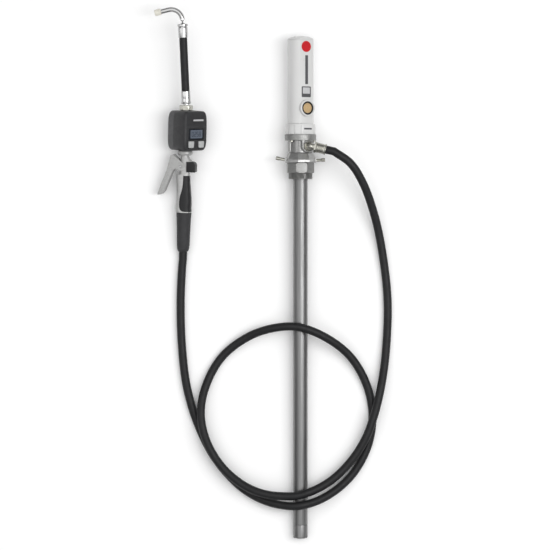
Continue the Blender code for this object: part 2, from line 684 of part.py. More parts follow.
def make_handle(handle):
    body = loft("handle_body", grip_rings(0), "cast aluminium", handle)
    cut(body, insert_region("insert_room", GAP, handle))
    join(body, loft("grip_core", grip_rings(0.0034), None, handle))
    head = loft("valve_head", [
        oval(-0.0120, 0.0120, 0.0100, 0.1862), oval(-0.0122, 0.0128, 0.0100, 0.1900),
        oval(-0.0122, 0.0130, 0.0100, 0.2060), oval(-0.0118, 0.0120, 0.0100, 0.2160),
        oval(-0.0105, 0.0105, 0.0100, 0.2225, 2.0), oval(-0.0100, 0.0100, 0.0100, NECK_TOP, 2.0),
    ], None, handle)
    join(body, head)
    join(body, loft("neck_flare", [
        oval(-0.0116, 0.0196, 0.0098, 0.2196), oval(-0.0112, 0.0176, 0.0098, 0.2215),
        oval(-0.0104, 0.0130, 0.0098, 0.2260), oval(-0.0100, 0.0104, 0.0098, 0.2320, 2.0),
    ], None, handle))
    cut(body, turned("flow_bore", [
        (0, GRIP_BOTTOM - 0.002), (0.0098, GRIP_BOTTOM - 0.002), (0.0098, 0.1210), (0.0055, 0.1210),
        (0.0055, VALVE_HEIGHT), (0.0040, VALVE_HEIGHT), (0.0040, NECK_TOP + 0.002),
        (0, NECK_TOP + 0.002),
    ], None, handle))
    cut(body, rod("valve_bore", 0.0048, -0.0150, 0.0150, None, handle,
                  place=(0, 0, VALVE_HEIGHT), turn=along_x()))
    cut(body, rod("pin_bore", 0.0028, -0.0150, 0.0150, None, handle,
                  place=(PIVOT[0], 0, PIVOT[1]), turn=along_y()))
    insert = loft("grip_insert", grip_rings(-0.0002), "grip rubber", handle)
    shape_with(insert, "INTERSECT", insert_region("insert_keep", 0, handle))
    cut(insert, loft("insert_core", grip_rings(0.0031), None, handle))


def make_lever(lever):
    """A bent plate with two cheeks; its frame's origin is on the pin."""
    outline = [
        (-0.0259, 0.0257), (-0.0189, 0.0282), (-0.0080, 0.0190), (0.0088, 0.0052),
        (0.0122, 0.0010), (0.0118, -0.0045), (0.0060, -0.0100), (-0.0040, -0.0110),
        (-0.0122, -0.0050), (-0.0190, -0.0120), (-0.0246, -0.0258), (-0.0333, -0.0470),
        (-0.0390, -0.0617), (-0.0460, -0.0697), (-0.0570, -0.0715), (-0.0454, -0.0385),
        (-0.0342, -0.0104), (-0.0285, 0.0120),
    ]
    body = side_prism("trigger_lever", outline, LEVER_HALF_WIDTH, "cast aluminium", lever)
    inside = [
        (-0.0240, 0.0330), (-0.0240, 0.0240), (-0.0264, 0.0118), (-0.0321, -0.0112),
        (-0.0433, -0.0390), (-0.0530, -0.0665), (-0.0500, -0.0800), (0.0200, -0.0800),
        (0.0200, 0.0330),
    ]
    cut(body, side_prism("lever_inside", inside, LEVER_HALF_WIDTH - LEVER_PLATE, None, lever))
    pad = block("lever_pad", (-0.0098, -0.0110, -0.0108), (-0.0072, 0.0110, -0.0055), None, lever)
    join(body, pad)
    cut(body, rod("lever_hole", 0.0028, -0.0200, 0.0200, None, lever, turn=along_y()))


def make_valve(handle, stem):
    rod("lever_pin", 0.0025, -0.0135, 0.0135, "steel", handle,
        place=(PIVOT[0], 0, PIVOT[1]), turn=along_y())
    turned("valve_stem", [
        (0, -0.0152), (0.0024, -0.0152), (0.0024, 0.0008), (0.0044, 0.0032), (0.0044, 0.0090),
        (0.0025, 0.0098), (0.0025, 0.0160), (0, 0.0160),
    ], "steel", stem, SMALL_SIDES)
    outline = [
        (0.0060, 0.1940), (0.0272, 0.1940), (0.0276, 0.1946), (0.0276, 0.2100), (0.0266, 0.2142),
        (0.0236, 0.2178), (0.0190, 0.2192), (0.0060, 0.2192),
    ]
    cap = side_prism("valve_cap", outline, 0.0128, "grip rubber", handle)
    cut(cap, loft("head_room", [
        oval(-0.0126, 0.0134, 0.0104, 0.1850), oval(-0.0126, 0.0134, 0.0104, 0.2230),
    ], None, handle))
    cut(cap, rod("spring_room", 0.0070, 0.0100, 0.0270, None, handle,
                 place=(0, 0, VALVE_HEIGHT + 0.0022), turn=along_x()))


def make_valve_spring(stem):
    """The closing spring in the cap, four turns of wire on the stem's axis."""
    coil_radius = 0.0042
    wire_radius = 0.0006
    turns = 4
    steps = 8
    start = 0.0150
    pitch = 0.0022
    curve = bpy.data.curves.new("valve_spring", "CURVE")
    curve.dimensions = "3D"
    curve.bevel_depth = wire_radius
    curve.bevel_resolution = 1
    curve.use_fill_caps = True
    spline = curve.splines.new("POLY")
    count = turns * steps + 1
    spline.points.add(count - 1)
    for index, point in enumerate(spline.points):
        angle = math.tau * index / steps
        height = start + pitch * index / steps
        point.co = (coil_radius * math.cos(angle), coil_radius * math.sin(angle), height, 1.0)
    spring = bpy.data.objects.new("valve_spring", curve)
    curve.materials.append(finish_material("steel"))
    bpy.context.collection.objects.link(spring)
    spring.parent = stem


def make_boot(gun):
    turned("hose_boot", [
        (0.0065, 0), (0.0122, 0), (0.0146, 0.0060), (0.0156, 0.0150), (0.0160, 0.0300),
        (0.0166, 0.0550), (0.0176, 0.0800), (0.0185, 0.0910), (0.0187, BOOT_TOP),
        (0.0135, BOOT_TOP), (0.0135, 0.0060), (0.0065, 0.0045),
    ], "boot rubber", gun)
    turned("hose_ferrule_gun", [
        (0.0050, 0.0068), (0.0125, 0.0068), (0.0125, 0.0430), (0.0100, 0.0450), (0.0050, 0.0450),
    ], "zinc plate", gun)
    turned("swivel_stem", [
        (0.0050, 0.0453), (0.0118, 0.0453), (0.0118, 0.0560), (0.0094, 0.0570), (0.0094, 0.1180),
        (0.0050, 0.1180),
    ], "zinc plate", gun)


def make_collar(gun):
    low = 0.2348
    turned("outlet_collar", [
        (0.0104, low), (0.0160, low), (0.0178, low + 0.0025), (0.0182, low + 0.0050),
        (0.0178, low + 0.0090), (0.0160, low + 0.0112), (0.0104, low + 0.0112),
    ], "cast aluminium", gun)


# Gun: meter

def rounded_case(width, front, back, corner):
    """Corners of a rounded oblong, seen along the flow axis."""
    points = []
    steps = 3
    corners = (
        (width - corner, front + corner, -90), (width - corner, back - corner, 0),
        (-width + corner, back - corner, 90), (-width + corner, front + corner, 180),
    )
    for x, y, start in corners:
        for step in range(steps + 1):
            angle = math.radians(start + 90 * step / steps)
            points.append((x + corner * math.cos(angle), y + corner * math.sin(angle)))
    return points


def meter_case(name, finish, frame):
    """The whole case: level along the flow, share of the full width, share of the full depth."""
    profile = [
        (-1.0, 0.680, 0.800), (-0.975, 0.780, 0.870), (-0.92, 0.870, 0.930), (-0.82, 0.945, 0.970),
        (-0.66, 0.985, 0.992), (0.0, 1.0, 1.0), (0.66, 0.985, 0.992),
        (0.82, 0.945, 0.970), (0.92, 0.870, 0.930), (0.975, 0.780, 0.870), (1.0, 0.680, 0.800),
    ]
    middle = (METER_FRONT + METER_BACK) / 2
    outline = rounded_case(METER_HALF_WIDTH, METER_FRONT, METER_BACK, METER_CORNER)
    rings = []
    for level, width, depth in profile:
        height = level * METER_HALF_LENGTH
        rings.append([(x * width, middle + (y - middle) * depth, height) for x, y in outline])
    return loft(name, rings, finish, frame)


def half_space(name, front, back, frame):
    reach = 0.060
    return block(name, (-reach, front, -reach), (reach, back, reach), None, frame)


def make_meter_body(meter):
    body = meter_case("meter_body", "case metal", meter)
    cut(body, half_space("body_split", -0.060, CASE_SPLIT, meter))
    join(body, block("gear_block", (-0.0270, -0.0120, -0.0240), (0.0270, 0.0060, 0.0240), None, meter))
    port = 0.0491
    for side in (-1, 1):
        low, high = sorted((side * 0.0237, side * port))
        join(body, rod(f"port_{side + 1}", 0.0135, low, high, None, meter, SIDES))
    for side in (-1, 1):
        low, high = sorted((side * 0.0040, side * (port + 0.001)))
        cut(body, rod(f"port_bore_{side + 1}", 0.0055, low, high, None, meter, SMALL_SIDES))
    for side in (-1, 1):
        place = (side * GEAR_CENTRE, 0, 0)
        cut(body, rod(f"gear_room_{side + 1}", 0.0116, -0.0020, 0.0140, None, meter, SIDES,
                      place=place, turn=along_y()))
        cut(body, rod(f"shaft_room_{side + 1}", 0.0028, -0.0085, 0.0140, None, meter,
                      place=place, turn=along_y()))
    block("gear_cover", (-0.0265, -0.0155, -0.0235), (0.0265, -0.0123, 0.0235), "case metal", meter)


def make_meter_cover(meter):
    cover = meter_case("meter_cover", "case plastic", meter)
    cut(cover, half_space("cover_split", CASE_SPLIT - GAP, 0.060, meter))
    cut(cover, block("cover_room", (-0.0285, -0.0350, -0.0405), (0.0285, 0.0100, 0.0405), None, meter))
    for side in (-1, 1):
        low, high = sorted((side * 0.0400, side * 0.0520))
        cut(cover, rod(f"port_room_{side + 1}", 0.0140, low, high, None, meter, SIDES))
    cut(cover, block("window_room", (-0.0250, -0.0420, -0.0215), (0.0250, -0.0340, 0.0065), None, meter))
    for side in (-1, 1):
        middle = side * 0.0160
        cut(cover, block(f"key_room_{side + 1}", (middle - 0.0095, -0.0420, -0.0430 + 0.0010),
                         (middle + 0.0095, -0.0340, -0.0232), None, meter))


def make_meter_electronics(meter):
    block("display_window", (-0.0246, -0.0392, -0.0211), (0.0246, -0.0372, 0.0061), "window", meter)
    block("display_panel", (-0.0210, -0.0368, -0.0205), (0.0210, -0.0353, 0.0055), "display", meter)
    block("circuit_board", (-0.0270, -0.0335, -0.0385), (0.0270, -0.0320, 0.0385), "circuit board", meter)
    rod("battery", 0.0070, -0.0200, 0.0200, "steel", meter, place=(0, -0.0240, 0.0), turn=along_x())
    for side, name in ((-1, "reset_key"), (1, "total_key")):
        key = add_frame(f"{name}_frame", meter, (side * 0.0160, -0.0400, -0.0326), (0, 0, 0))
        block(name, (-0.0091, -0.0012, -0.0090), (0.0091, 0.0030, 0.0090), "key plastic", key)


def make_gear(name, side, meter):
    """A measuring gear with its shaft, on its own axis."""
    frame = add_frame(f"{name}_frame", meter, (side * GEAR_CENTRE, 0, 0), along_y())
    pitch_turn = math.tau / GEAR_TEETH
    start = 0 if side < 0 else pitch_turn / 2
    outline = []
    for tooth in range(GEAR_TEETH):
        middle = start + tooth * pitch_turn
        for radius, offset in ((0.0083, -0.29), (0.0109, -0.10), (0.0109, 0.10), (0.0083, 0.29)):
            angle = middle + offset * pitch_turn
            outline.append((radius * math.cos(angle), radius * math.sin(angle)))
    gear = prism(name, outline, -0.0015, 0.0115, "steel", frame)
    join(gear, rod(f"{name}_shaft", 0.0024, -0.0080, 0.0105, None, frame))


def make_meter(gun):
    meter = add_frame("meter_frame", gun, (0, 0, METER_HEIGHT), (0, 0, METER_ROLL))
    make_meter_body(meter)
    make_meter_cover(meter)
    make_meter_electronics(meter)
    make_gear("measuring_gear_left", -1, meter)
    make_gear("measuring_gear_right", 1, meter)


# Gun: spout

def make_spout(gun):
    spout = add_frame("spout_frame", gun, (0, 0, SPOUT_HEIGHT), (0, SPOUT_LEAN, 0))
    port_top = METER_HEIGHT + 0.0491
    turned("spout_nut", [
        (0.0072, port_top + GAP), (0.0150, port_top + GAP), (0.0162, port_top + 0.0012),
        (0.0162, 0.3550), (0.0150, 0.3560), (0.0072, 0.3560),
    ], "zinc plate", gun, 6)
    turned("lower_ferrule", [
        (0.0045, 0.0010), (0.0078, 0.0010), (0.0078, 0.0025), (0.0122, 0.0035), (0.0124, 0.0065),
        (0.0113, 0.0080), (0.0113, 0.0337), (0.0045, 0.0337),
    ], "chrome", spout)
    pipe("spout_hose", 0.0050, 0.0096, 0.0340, 0.1627, "hose rubber", spout)
    turned("upper_ferrule", [
        (0.0045, 0.1630), (0.0114, 0.1630), (0.0116, 0.1861), (0.0108, 0.1901), (0.0126, 0.1909),
        (0.0126, 0.1956), (0.0090, 0.1966), (0.0045, 0.1966),
    ], "chrome", spout)
    make_spout_pipe(spout)


def make_spout_pipe(spout):
    """A bent tube: a short rise, a bend to the left and a straight end."""
    start = 0.1969
    rise = 0.0081
    bend_radius = 0.0270
    bend = math.radians(101)
    straight = 0.0185
    outer = 0.0062
    bore = 0.0042
    sides = 12
    stations = [(0.0, start, 0.0)]
    steps = 8
    for step in range(steps + 1):
        angle = bend * step / steps
        x = -bend_radius * (1 - math.cos(angle))
        z = start + rise + bend_radius * math.sin(angle)
        stations.append((x, z, angle))
    x, z, angle = stations[-1]
    end = (x - straight * math.sin(angle), z + straight * math.cos(angle), angle)
    stations.append(end)
    points = []
    for radius in (outer, bore):
        for x, z, angle in stations:
            for side in range(sides):
                around = math.tau * side / sides
                across = radius * math.cos(around)
                points.append((x + across * math.cos(angle), radius * math.sin(around),
                               z + across * math.sin(angle)))
    count = len(stations)
    faces = []
    for layer in range(2):
        for station in range(count - 1):
            low = (layer * count + station) * sides
            for side in range(sides):
                after = (side + 1) % sides
                faces.append((low + side, low + after, low + sides + after, low + sides + side))
    for station in (0, count - 1):
        outer_low = station * sides
        inner_low = (count + station) * sides
        for side in range(sides):
            after = (side + 1) % sides
            faces.append((outer_low + side, outer_low + after, inner_low + after, inner_low + side))
    add_solid("spout_pipe", points, faces, "chrome", spout)
    x, z, angle = end
    tip = add_frame("tip_frame", spout, (x, 0, z), (0, -angle, 0))
    turned("nozzle_tip", [
        (0.0030, GAP), (0.0068, GAP), (0.0082, 0.0020), (0.0082, 0.0060), (0.0076, 0.0070),
        (0.0080, 0.0085), (0.0078, 0.0140), (0.0062, 0.0162), (0.0030, 0.0162),
    ], "white plastic", tip, 16)


def make_gun():
    gun = add_frame("gun_frame", None, GUN_PLACE - ORIGIN, (GUN_LIFT - math.pi / 2, 0, GUN_LEAN))
    handle = add_frame("handle_frame", gun, (0, 0, 0), (0, 0, GRIP_ROLL))
    lever = add_frame("lever_frame", handle, (PIVOT[0], 0, PIVOT[1]), (0, 0, 0))
    stem = add_frame("stem_frame", handle, (0, 0, VALVE_HEIGHT), along_x())
    make_boot(gun)
    make_handle(handle)
    make_lever(lever)
    make_valve(handle, stem)
    make_valve_spring(stem)
    make_collar(gun)
    make_meter(gun)
    make_spout(gun)
    return gun


def main():
    for thing in list(bpy.data.objects):
        bpy.data.objects.remove(thing)
    hose_end = make_pump()
    gun = make_gun()
    make_hose(hose_end, gun)


main()
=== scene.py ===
"""The looks of the drum barrel pump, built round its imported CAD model.

Metres, +Z up. Pieces are modelled upright in the frames of the pump and the gun, whose +Z runs from the
foot to the motor and from the hose to the nozzle, and whose -Y faces up from the floor.
"""
import json
import math

import bmesh
import bpy
from mathutils import Euler, Matrix, Vector


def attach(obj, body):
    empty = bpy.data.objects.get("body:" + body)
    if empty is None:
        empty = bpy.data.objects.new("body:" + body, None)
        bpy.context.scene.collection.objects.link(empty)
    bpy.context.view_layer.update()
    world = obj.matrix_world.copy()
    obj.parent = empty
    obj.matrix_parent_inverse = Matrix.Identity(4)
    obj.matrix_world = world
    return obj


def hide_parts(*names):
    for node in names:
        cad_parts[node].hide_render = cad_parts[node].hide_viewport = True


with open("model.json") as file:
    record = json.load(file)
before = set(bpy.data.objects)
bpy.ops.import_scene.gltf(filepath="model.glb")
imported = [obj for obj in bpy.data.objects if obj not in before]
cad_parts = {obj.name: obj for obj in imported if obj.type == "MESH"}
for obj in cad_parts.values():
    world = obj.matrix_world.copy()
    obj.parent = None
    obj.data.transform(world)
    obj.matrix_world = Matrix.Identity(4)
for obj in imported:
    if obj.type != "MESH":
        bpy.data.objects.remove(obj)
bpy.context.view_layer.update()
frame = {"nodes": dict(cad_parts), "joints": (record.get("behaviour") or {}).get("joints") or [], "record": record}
joints = {joint["name"]: joint for joint in frame["joints"]}
mounts = {mount["name"]: mount for mount in frame["record"]["mounts"]}

FINE = 96               # sides of large round pieces
SMALL = 48              # sides of small round pieces
PAPER = 0.00025         # thickness of a label
GAP = 0.0003            # room between two pieces that sit on each other

# Pump heights, from the foot
FOOT_TOP = 0.0326
THREAD_BOTTOM = 0.8738
COLLAR_BOTTOM = 0.8886
COLLAR_TOP = 0.9133
WING_TOP = 0.9368
NECK_BOTTOM = 0.9375
OUTLET_HEIGHT = 0.9532
TUBE_TOP = 0.9610
FLANGE_BOTTOM = 0.9674
FLANGE_TOP = 0.9822
BASE_TOP = 1.0075
SILENCER_HEIGHT = 1.0456
CYLINDER_TOP = 1.2115
CAP_TOP = 1.2208

# Pump radii, and distances from its axis
FOOT_RING = 0.0122      # how far from the axis the foot's mount lies
TUBE_RADIUS = 0.01745
TUBE_BORE = 0.0155
THREAD_RADIUS = 0.0298  # two inch pipe thread
THREAD_DEPTH = 0.0014
THREAD_PITCH = 0.002309
COLLAR_CORNER = 0.0350
NECK_RADIUS = 0.0280
FLANGE_RADIUS = 0.0384
SCREW_CIRCLE = 0.0333
BASE_RADIUS = 0.0363
BASE_FLAT = 0.0335
CYLINDER_RADIUS = 0.0315
CYLINDER_BORE = 0.0235
LABEL_FLAT = 0.0260
BOSS_FACE = 0.0335
HEX_TOP = 0.0382
ELBOW = 0.0460
FERRULE_END = 0.0380    # along the hose from the elbow

# Pump directions
LABEL_TURN = math.radians(32)
OUTLET_RISE = math.radians(58)

# Gun heights, from the hose end of its boot
BOOT_TOP = 0.0950
VALVE_HEIGHT = 0.2000
PIVOT_HEIGHT = 0.2080
COLLAR_HEIGHT = 0.2348
METER_HEIGHT = 0.2952
SPOUT_HEIGHT = 0.3566

# Gun directions and small radii
GRIP_ROLL = math.radians(-10)
METER_ROLL = math.radians(43)
SPOUT_LEAN = math.radians(-3.8)
PIN_HOLE = 0.0028


# Frames, read from the joints and mounts

def upright(origin, axis):
    """A frame whose Z is the axis and whose -Y faces up from the floor."""
    z_axis = Vector(axis).normalized()
    x_axis = z_axis.cross(Vector((0, 0, 1))).normalized()
    y_axis = z_axis.cross(x_axis)
    turn = Matrix((x_axis, y_axis, z_axis)).transposed().to_4x4()
    return Matrix.Translation(origin) @ turn


def on_joint(name, height):
    """A frame on a hinge's axis, whose origin lies that far below the hinge's own point."""
    joint = joints[name]
    axis = Vector(joint["axis"])
    return upright(Vector(joint["pos_m"]) - height * axis, axis)


def within(outer, place=(0, 0, 0), turn=(0, 0, 0)):
    """A frame inside another."""
    return outer @ Matrix.Translation(place) @ Euler(turn).to_matrix().to_4x4()


def facing(outer, height, turn):
    """A frame on the pump's axis whose Z points out sideways, turned that far from -Y towards +X."""
    return within(outer, (0, 0, height), (math.pi / 2, 0, turn))


foot = Vector(mounts["foot_end"]["pos_m"]) - Vector((FOOT_RING, 0, 0))
PUMP = upright(foot, joints["piston_stroke"]["axis"])
OUTLET = within(PUMP, (0, 0, OUTLET_HEIGHT), (0, math.pi / 2, -OUTLET_RISE))
HOSE_END = on_joint("swivel_nut_turn", 0.010)
WING = on_joint("wing_nut_turn", 0.010)
GUN = on_joint("gun_swivel", 0.100)
HANDLE = within(GUN, turn=(0, 0, GRIP_ROLL))
METER = within(GUN, (0, 0, METER_HEIGHT), (0, 0, METER_ROLL))
SPOUT = within(GUN, (0, 0, SPOUT_HEIGHT), (0, SPOUT_LEAN, 0))
TIP = on_joint("nozzle_tip_turn", 0.008)
LEVER = within(HANDLE, (-0.0085, 0, PIVOT_HEIGHT))


# Materials

def link_noise(tree, coordinates, scale, detail, stretch):
    """A noise texture whose grain is drawn out along the axes with a small stretch value."""
    mapping = tree.nodes.new("ShaderNodeMapping")
    mapping.inputs["Scale"].default_value = stretch
    tree.links.new(coordinates, mapping.inputs["Vector"])
    noise = tree.nodes.new("ShaderNodeTexNoise")
    noise.inputs["Scale"].default_value = scale
    noise.inputs["Detail"].default_value = detail
    tree.links.new(mapping.outputs["Vector"], noise.inputs["Vector"])
    return noise.outputs["Fac"]


def spread(tree, value, low, high):
    """Maps the middle of a noise's range to low .. high."""
    node = tree.nodes.new("ShaderNodeMapRange")
    node.inputs["From Min"].default_value = 0.3
    node.inputs["From Max"].default_value = 0.7
    node.inputs["To Min"].default_value = low
    node.inputs["To Max"].default_value = high
    tree.links.new(value, node.inputs["Value"])
    return node.outputs["Result"]


LOOKS = {}


def material(name, colour, roughness, metallic=0.0, mottle=(0.06, 60.0), grain=(0.0, 900.0),
             stretch=(1.0, 1.0, 1.0), wear_and_highlight=0.0, coat=0.0, rough_range=0.08, gloss=0.5):
    """Adds a look with mottled colour, uneven roughness, surface grain, and edges lightened partly for rubbing
    wear and partly as a painted highlight.

    mottle and grain are each (strength, scale).
    """
    made = bpy.data.materials.new(name)
    made.use_nodes = True
    tree = made.node_tree
    shader = tree.nodes["Principled BSDF"]
    shader.inputs["Metallic"].default_value = metallic
    shader.inputs["Coat Weight"].default_value = coat
    shader.inputs["Coat Roughness"].default_value = 0.12
    shader.inputs["Specular IOR Level"].default_value = gloss
    coordinates = tree.nodes.new("ShaderNodeTexCoord").outputs["Object"]
    patches = link_noise(tree, coordinates, mottle[1], 4.0, stretch)
    mix = tree.nodes.new("ShaderNodeMix")
    mix.data_type = "RGBA"
    mix.inputs["A"].default_value = (*[value * (1 - mottle[0]) for value in colour], 1.0)
    mix.inputs["B"].default_value = (*[min(1.0, value * (1 + mottle[0])) for value in colour], 1.0)
    tree.links.new(spread(tree, patches, 0.0, 1.0), mix.inputs["Factor"])
    tone = mix.outputs["Result"]
    # Lightened edges stand partly for wear and partly for a painted edge highlight.
    if wear_and_highlight:
        tone = add_wear_and_highlight(tree, tone, colour, wear_and_highlight)
    tree.links.new(tone, shader.inputs["Base Color"])
    uneven = link_noise(tree, coordinates, mottle[1] * 2.3, 3.0, stretch)
    low = max(0.02, roughness - rough_range)
    tree.links.new(spread(tree, uneven, low, roughness + rough_range), shader.inputs["Roughness"])
    if grain[0]:
        bump = tree.nodes.new("ShaderNodeBump")
        bump.inputs["Strength"].default_value = grain[0]
        bump.inputs["Distance"].default_value = 0.0002
        fine = link_noise(tree, coordinates, grain[1], 2.0, stretch)
        tree.links.new(fine, bump.inputs["Height"])
        tree.links.new(bump.outputs["Normal"], shader.inputs["Normal"])
    LOOKS[name] = made


def add_wear_and_highlight(tree, tone, colour, amount):
    """Lightens the edges, partly as rubbing wear and partly as a painted highlight where light would catch them.
    """
    edges = tree.nodes.new("ShaderNodeNewGeometry").outputs["Pointiness"]
    edge_range = tree.nodes.new("ShaderNodeMapRange")
    edge_range.inputs["From Min"].default_value = 0.52
    edge_range.inputs["From Max"].default_value = 0.60
    edge_range.inputs["To Max"].default_value = amount
    tree.links.new(edges, edge_range.inputs["Value"])
    mix = tree.nodes.new("ShaderNodeMix")
    mix.data_type = "RGBA"
    mix.inputs["B"].default_value = (*[min(1.0, value * 1.5 + 0.08) for value in colour], 1.0)
    tree.links.new(edge_range.outputs["Result"], mix.inputs["Factor"])
    tree.links.new(tone, mix.inputs["A"])
    return mix.outputs["Result"]


ALONG = (1.0, 0.03, 1.0)
AROUND = (0.15, 1.0, 0.15)      # turned marks round a piece that lies along Y

material("white_paint", (0.63, 0.63, 0.625), 0.34, mottle=(0.02, 14.0), grain=(0.10, 1100.0), coat=0.15)
material("cast_aluminium", (0.27, 0.27, 0.265), 0.42, 0.8, mottle=(0.22, 420.0),
         grain=(0.55, 1400.0), wear_and_highlight=0.5)
material("wing_casting", (0.34, 0.34, 0.335), 0.36, 0.85, mottle=(0.14, 160.0),
         grain=(0.30, 1400.0), wear_and_highlight=0.7)
material("handle_casting", (0.42, 0.42, 0.415), 0.42, 0.45, mottle=(0.08, 110.0),
         grain=(0.25, 1800.0), wear_and_highlight=0.4)
material("lever_casting", (0.36, 0.36, 0.355), 0.50, 0.35, mottle=(0.18, 420.0),
         grain=(0.65, 1500.0), wear_and_highlight=0.4)
material("zinc_plate", (0.34, 0.335, 0.30), 0.26, 1.0, mottle=(0.16, 120.0), grain=(0.12, 900.0),
         stretch=AROUND, wear_and_highlight=0.5)
material("galvanised_tube", (0.20, 0.20, 0.20), 0.36, 0.9, mottle=(0.12, 150.0),
         grain=(0.15, 700.0), stretch=ALONG)
material("chrome", (0.46, 0.46, 0.46), 0.16, 1.0, mottle=(0.03, 60.0), grain=(0.03, 500.0),
         stretch=AROUND, rough_range=0.03)
material("steel", (0.46, 0.46, 0.47), 0.28, 1.0, mottle=(0.06, 160.0), grain=(0.08, 1200.0), stretch=AROUND)
material("bronze", (0.50, 0.35, 0.18), 0.66, 0.2, mottle=(0.22, 900.0), grain=(0.90, 1300.0))
material("brass", (0.60, 0.45, 0.20), 0.30, 1.0, mottle=(0.08, 120.0), grain=(0.10, 900.0), stretch=AROUND)
material("hose_rubber", (0.010, 0.010, 0.011), 0.50, mottle=(0.22, 70.0),
         grain=(0.35, 1300.0), rough_range=0.06, gloss=0.28)
material("boot_rubber", (0.034, 0.034, 0.036), 0.58, mottle=(0.12, 60.0), grain=(0.30, 1500.0), gloss=0.28)
material("grip_rubber", (0.014, 0.014, 0.015), 0.46, mottle=(0.15, 90.0), grain=(0.35, 1600.0), gloss=0.25)
material("case_plastic", (0.030, 0.030, 0.032), 0.48, mottle=(0.12, 80.0), grain=(0.40, 1700.0),
         wear_and_highlight=0.15, gloss=0.30)
material("case_metal", (0.10, 0.10, 0.103), 0.50, 0.3, mottle=(0.12, 130.0), grain=(0.50, 1500.0),
         wear_and_highlight=0.2, gloss=0.35)
material("seal_rubber", (0.015, 0.015, 0.015), 0.55, grain=(0.20, 1200.0), gloss=0.3)
material("white_plastic", (0.70, 0.68, 0.60), 0.32, mottle=(0.03, 90.0), grain=(0.08, 900.0))
material("key_plastic", (0.44, 0.45, 0.45), 0.50, mottle=(0.05, 200.0), grain=(0.30, 1800.0))
material("window", (0.012, 0.014, 0.018), 0.12, mottle=(0.10, 50.0), coat=0.3, rough_range=0.03, gloss=0.3)
material("display", (0.11, 0.13, 0.165), 0.35, mottle=(0.05, 120.0), grain=(0.05, 900.0), gloss=0.3)
material("digits", (0.012, 0.014, 0.018), 0.35, mottle=(0.05, 120.0), gloss=0.2)
material("circuit_board", (0.03, 0.16, 0.07), 0.45, mottle=(0.20, 300.0))
material("label_red", (0.50, 0.010, 0.016), 0.40, mottle=(0.04, 60.0), gloss=0.2)
material("label_grey", (0.085, 0.085, 0.09), 0.45, mottle=(0.06, 60.0), gloss=0.2)
material("label_light", (0.50, 0.50, 0.51), 0.40, mottle=(0.04, 60.0), gloss=0.2)


# Mesh helpers

def rounded(corners, closed=False, steps=5):
    """Points of an outline whose corners (a, b, radius) become arcs."""
    points = []
    last = len(corners) - 1
    for index, corner in enumerate(corners):
        here = Vector(corner[:2])
        radius = corner[2] if len(corner) > 2 else 0
        if not radius or (index in (0, last) and not closed):
            points.append(tuple(here))
            continue
        before = (Vector(corners[index - 1][:2]) - here).normalized()
        after = (Vector(corners[(index + 1) % len(corners)][:2]) - here).normalized()
        half = before.angle(after) / 2
        centre = here + (before + after).normalized() * radius / math.sin(half)
        start = here + before * radius / math.tan(half) - centre
        end = here + after * radius / math.tan(half) - centre
        sweep = math.atan2(start.x * end.y - start.y * end.x, start.dot(end))
        first = math.atan2(start.y, start.x)
        for step in range(steps + 1):
            angle = first + sweep * step / steps
            points.append((centre.x + radius * math.cos(angle), centre.y + radius * math.sin(angle)))
    return points


def new_piece(name, points, faces, place, look=None):
    """A mesh object from points in a frame; with no look it is a cutting or joining tool."""
    mesh = bpy.data.meshes.new(name)
    shape = bmesh.new()
    corners = [shape.verts.new(place @ Vector(point)) for point in points]
    for face in faces:
        shape.faces.new([corners[index] for index in face])
    bmesh.ops.recalc_face_normals(shape, faces=shape.faces)
    shape.to_mesh(mesh)
    shape.free()
    shade(mesh)
    piece = bpy.data.objects.new(name, mesh)
    bpy.context.collection.objects.link(piece)
    if look:
        mesh.materials.append(LOOKS[look])
    return piece


def shade(mesh):
    """Smooth shading, with sharp edges left sharp."""
    mesh.shade_smooth()
    mesh.set_sharp_from_angle(angle=math.radians(35))


def circle(radius, height, sides, turn=0.0):
    """Points round a circle."""
    angles = [math.tau * step / sides + turn for step in range(sides)]
    return [(radius * math.cos(angle), radius * math.sin(angle), height) for angle in angles]


def turned(name, outline, place, look=None, sides=FINE, turn=0.0):
    """A round piece from (radius, height, fillet) corners: from axis to axis, or a closed ring."""
    ring = outline[0][0] > 0
    points = []
    rings = []
    for radius, height in rounded(outline, ring):
        spots = circle(radius, height, sides, turn) if radius > 0 else [(0, 0, height)]
        rings.append(range(len(points), len(points) + len(spots)))
        points.extend(spots)
    pairs = list(zip(rings, rings[1:]))
    if ring:
        pairs.append((rings[-1], rings[0]))
    faces = []
    for low, high in pairs:
        for step in range(sides):
            corners = (low[step % len(low)], low[(step + 1) % len(low)],
                       high[(step + 1) % len(high)], high[step % len(high)])
            faces.append(tuple(dict.fromkeys(corners)))
    return new_piece(name, points, faces, place, look)


def rod(name, radius, low, high, place, look=None, sides=FINE):
    """A plain cylinder."""
    return turned(name, [(0, low), (radius, low), (radius, high), (0, high)], place, look, sides)


def bands(levels, sides, closed):
    """Faces from each ring of points to the next, and from the last to the first if closed."""
    faces = []
    for level in range(levels if closed else levels - 1):
        low = level * sides
        high = (level + 1) % levels * sides
        for step in range(sides):
            after = (step + 1) % sides
            faces.append((low + step, low + after, high + after, high + step))
    return faces


def loft(name, rings, place, look=None, closed=False):
    """A piece through rings of points, with flat ends, or closed on itself like a sleeve."""
    points = [point for ring in rings for point in ring]
    count = len(rings[0])
    ends = [] if closed else [tuple(range(count)), tuple(range(len(points) - count, len(points)))]
    return new_piece(name, points, ends + bands(len(rings), count, closed), place, look)


def slab(name, outline, low, high, place, look=None):
    """A flat outline with rounded corners, extruded along Z."""
    outline = rounded(outline, True)
    return loft(name, [[(x, y, z) for x, y in outline] for z in (low, high)], place, look)


def side_slab(name, outline, half_width, place, look=None):
    """A side view (x, z) with rounded corners, extruded both ways along Y."""
    outline = rounded(outline, True)
    return loft(name, [[(x, y, z) for x, z in outline] for y in (-half_width, half_width)], place, look)


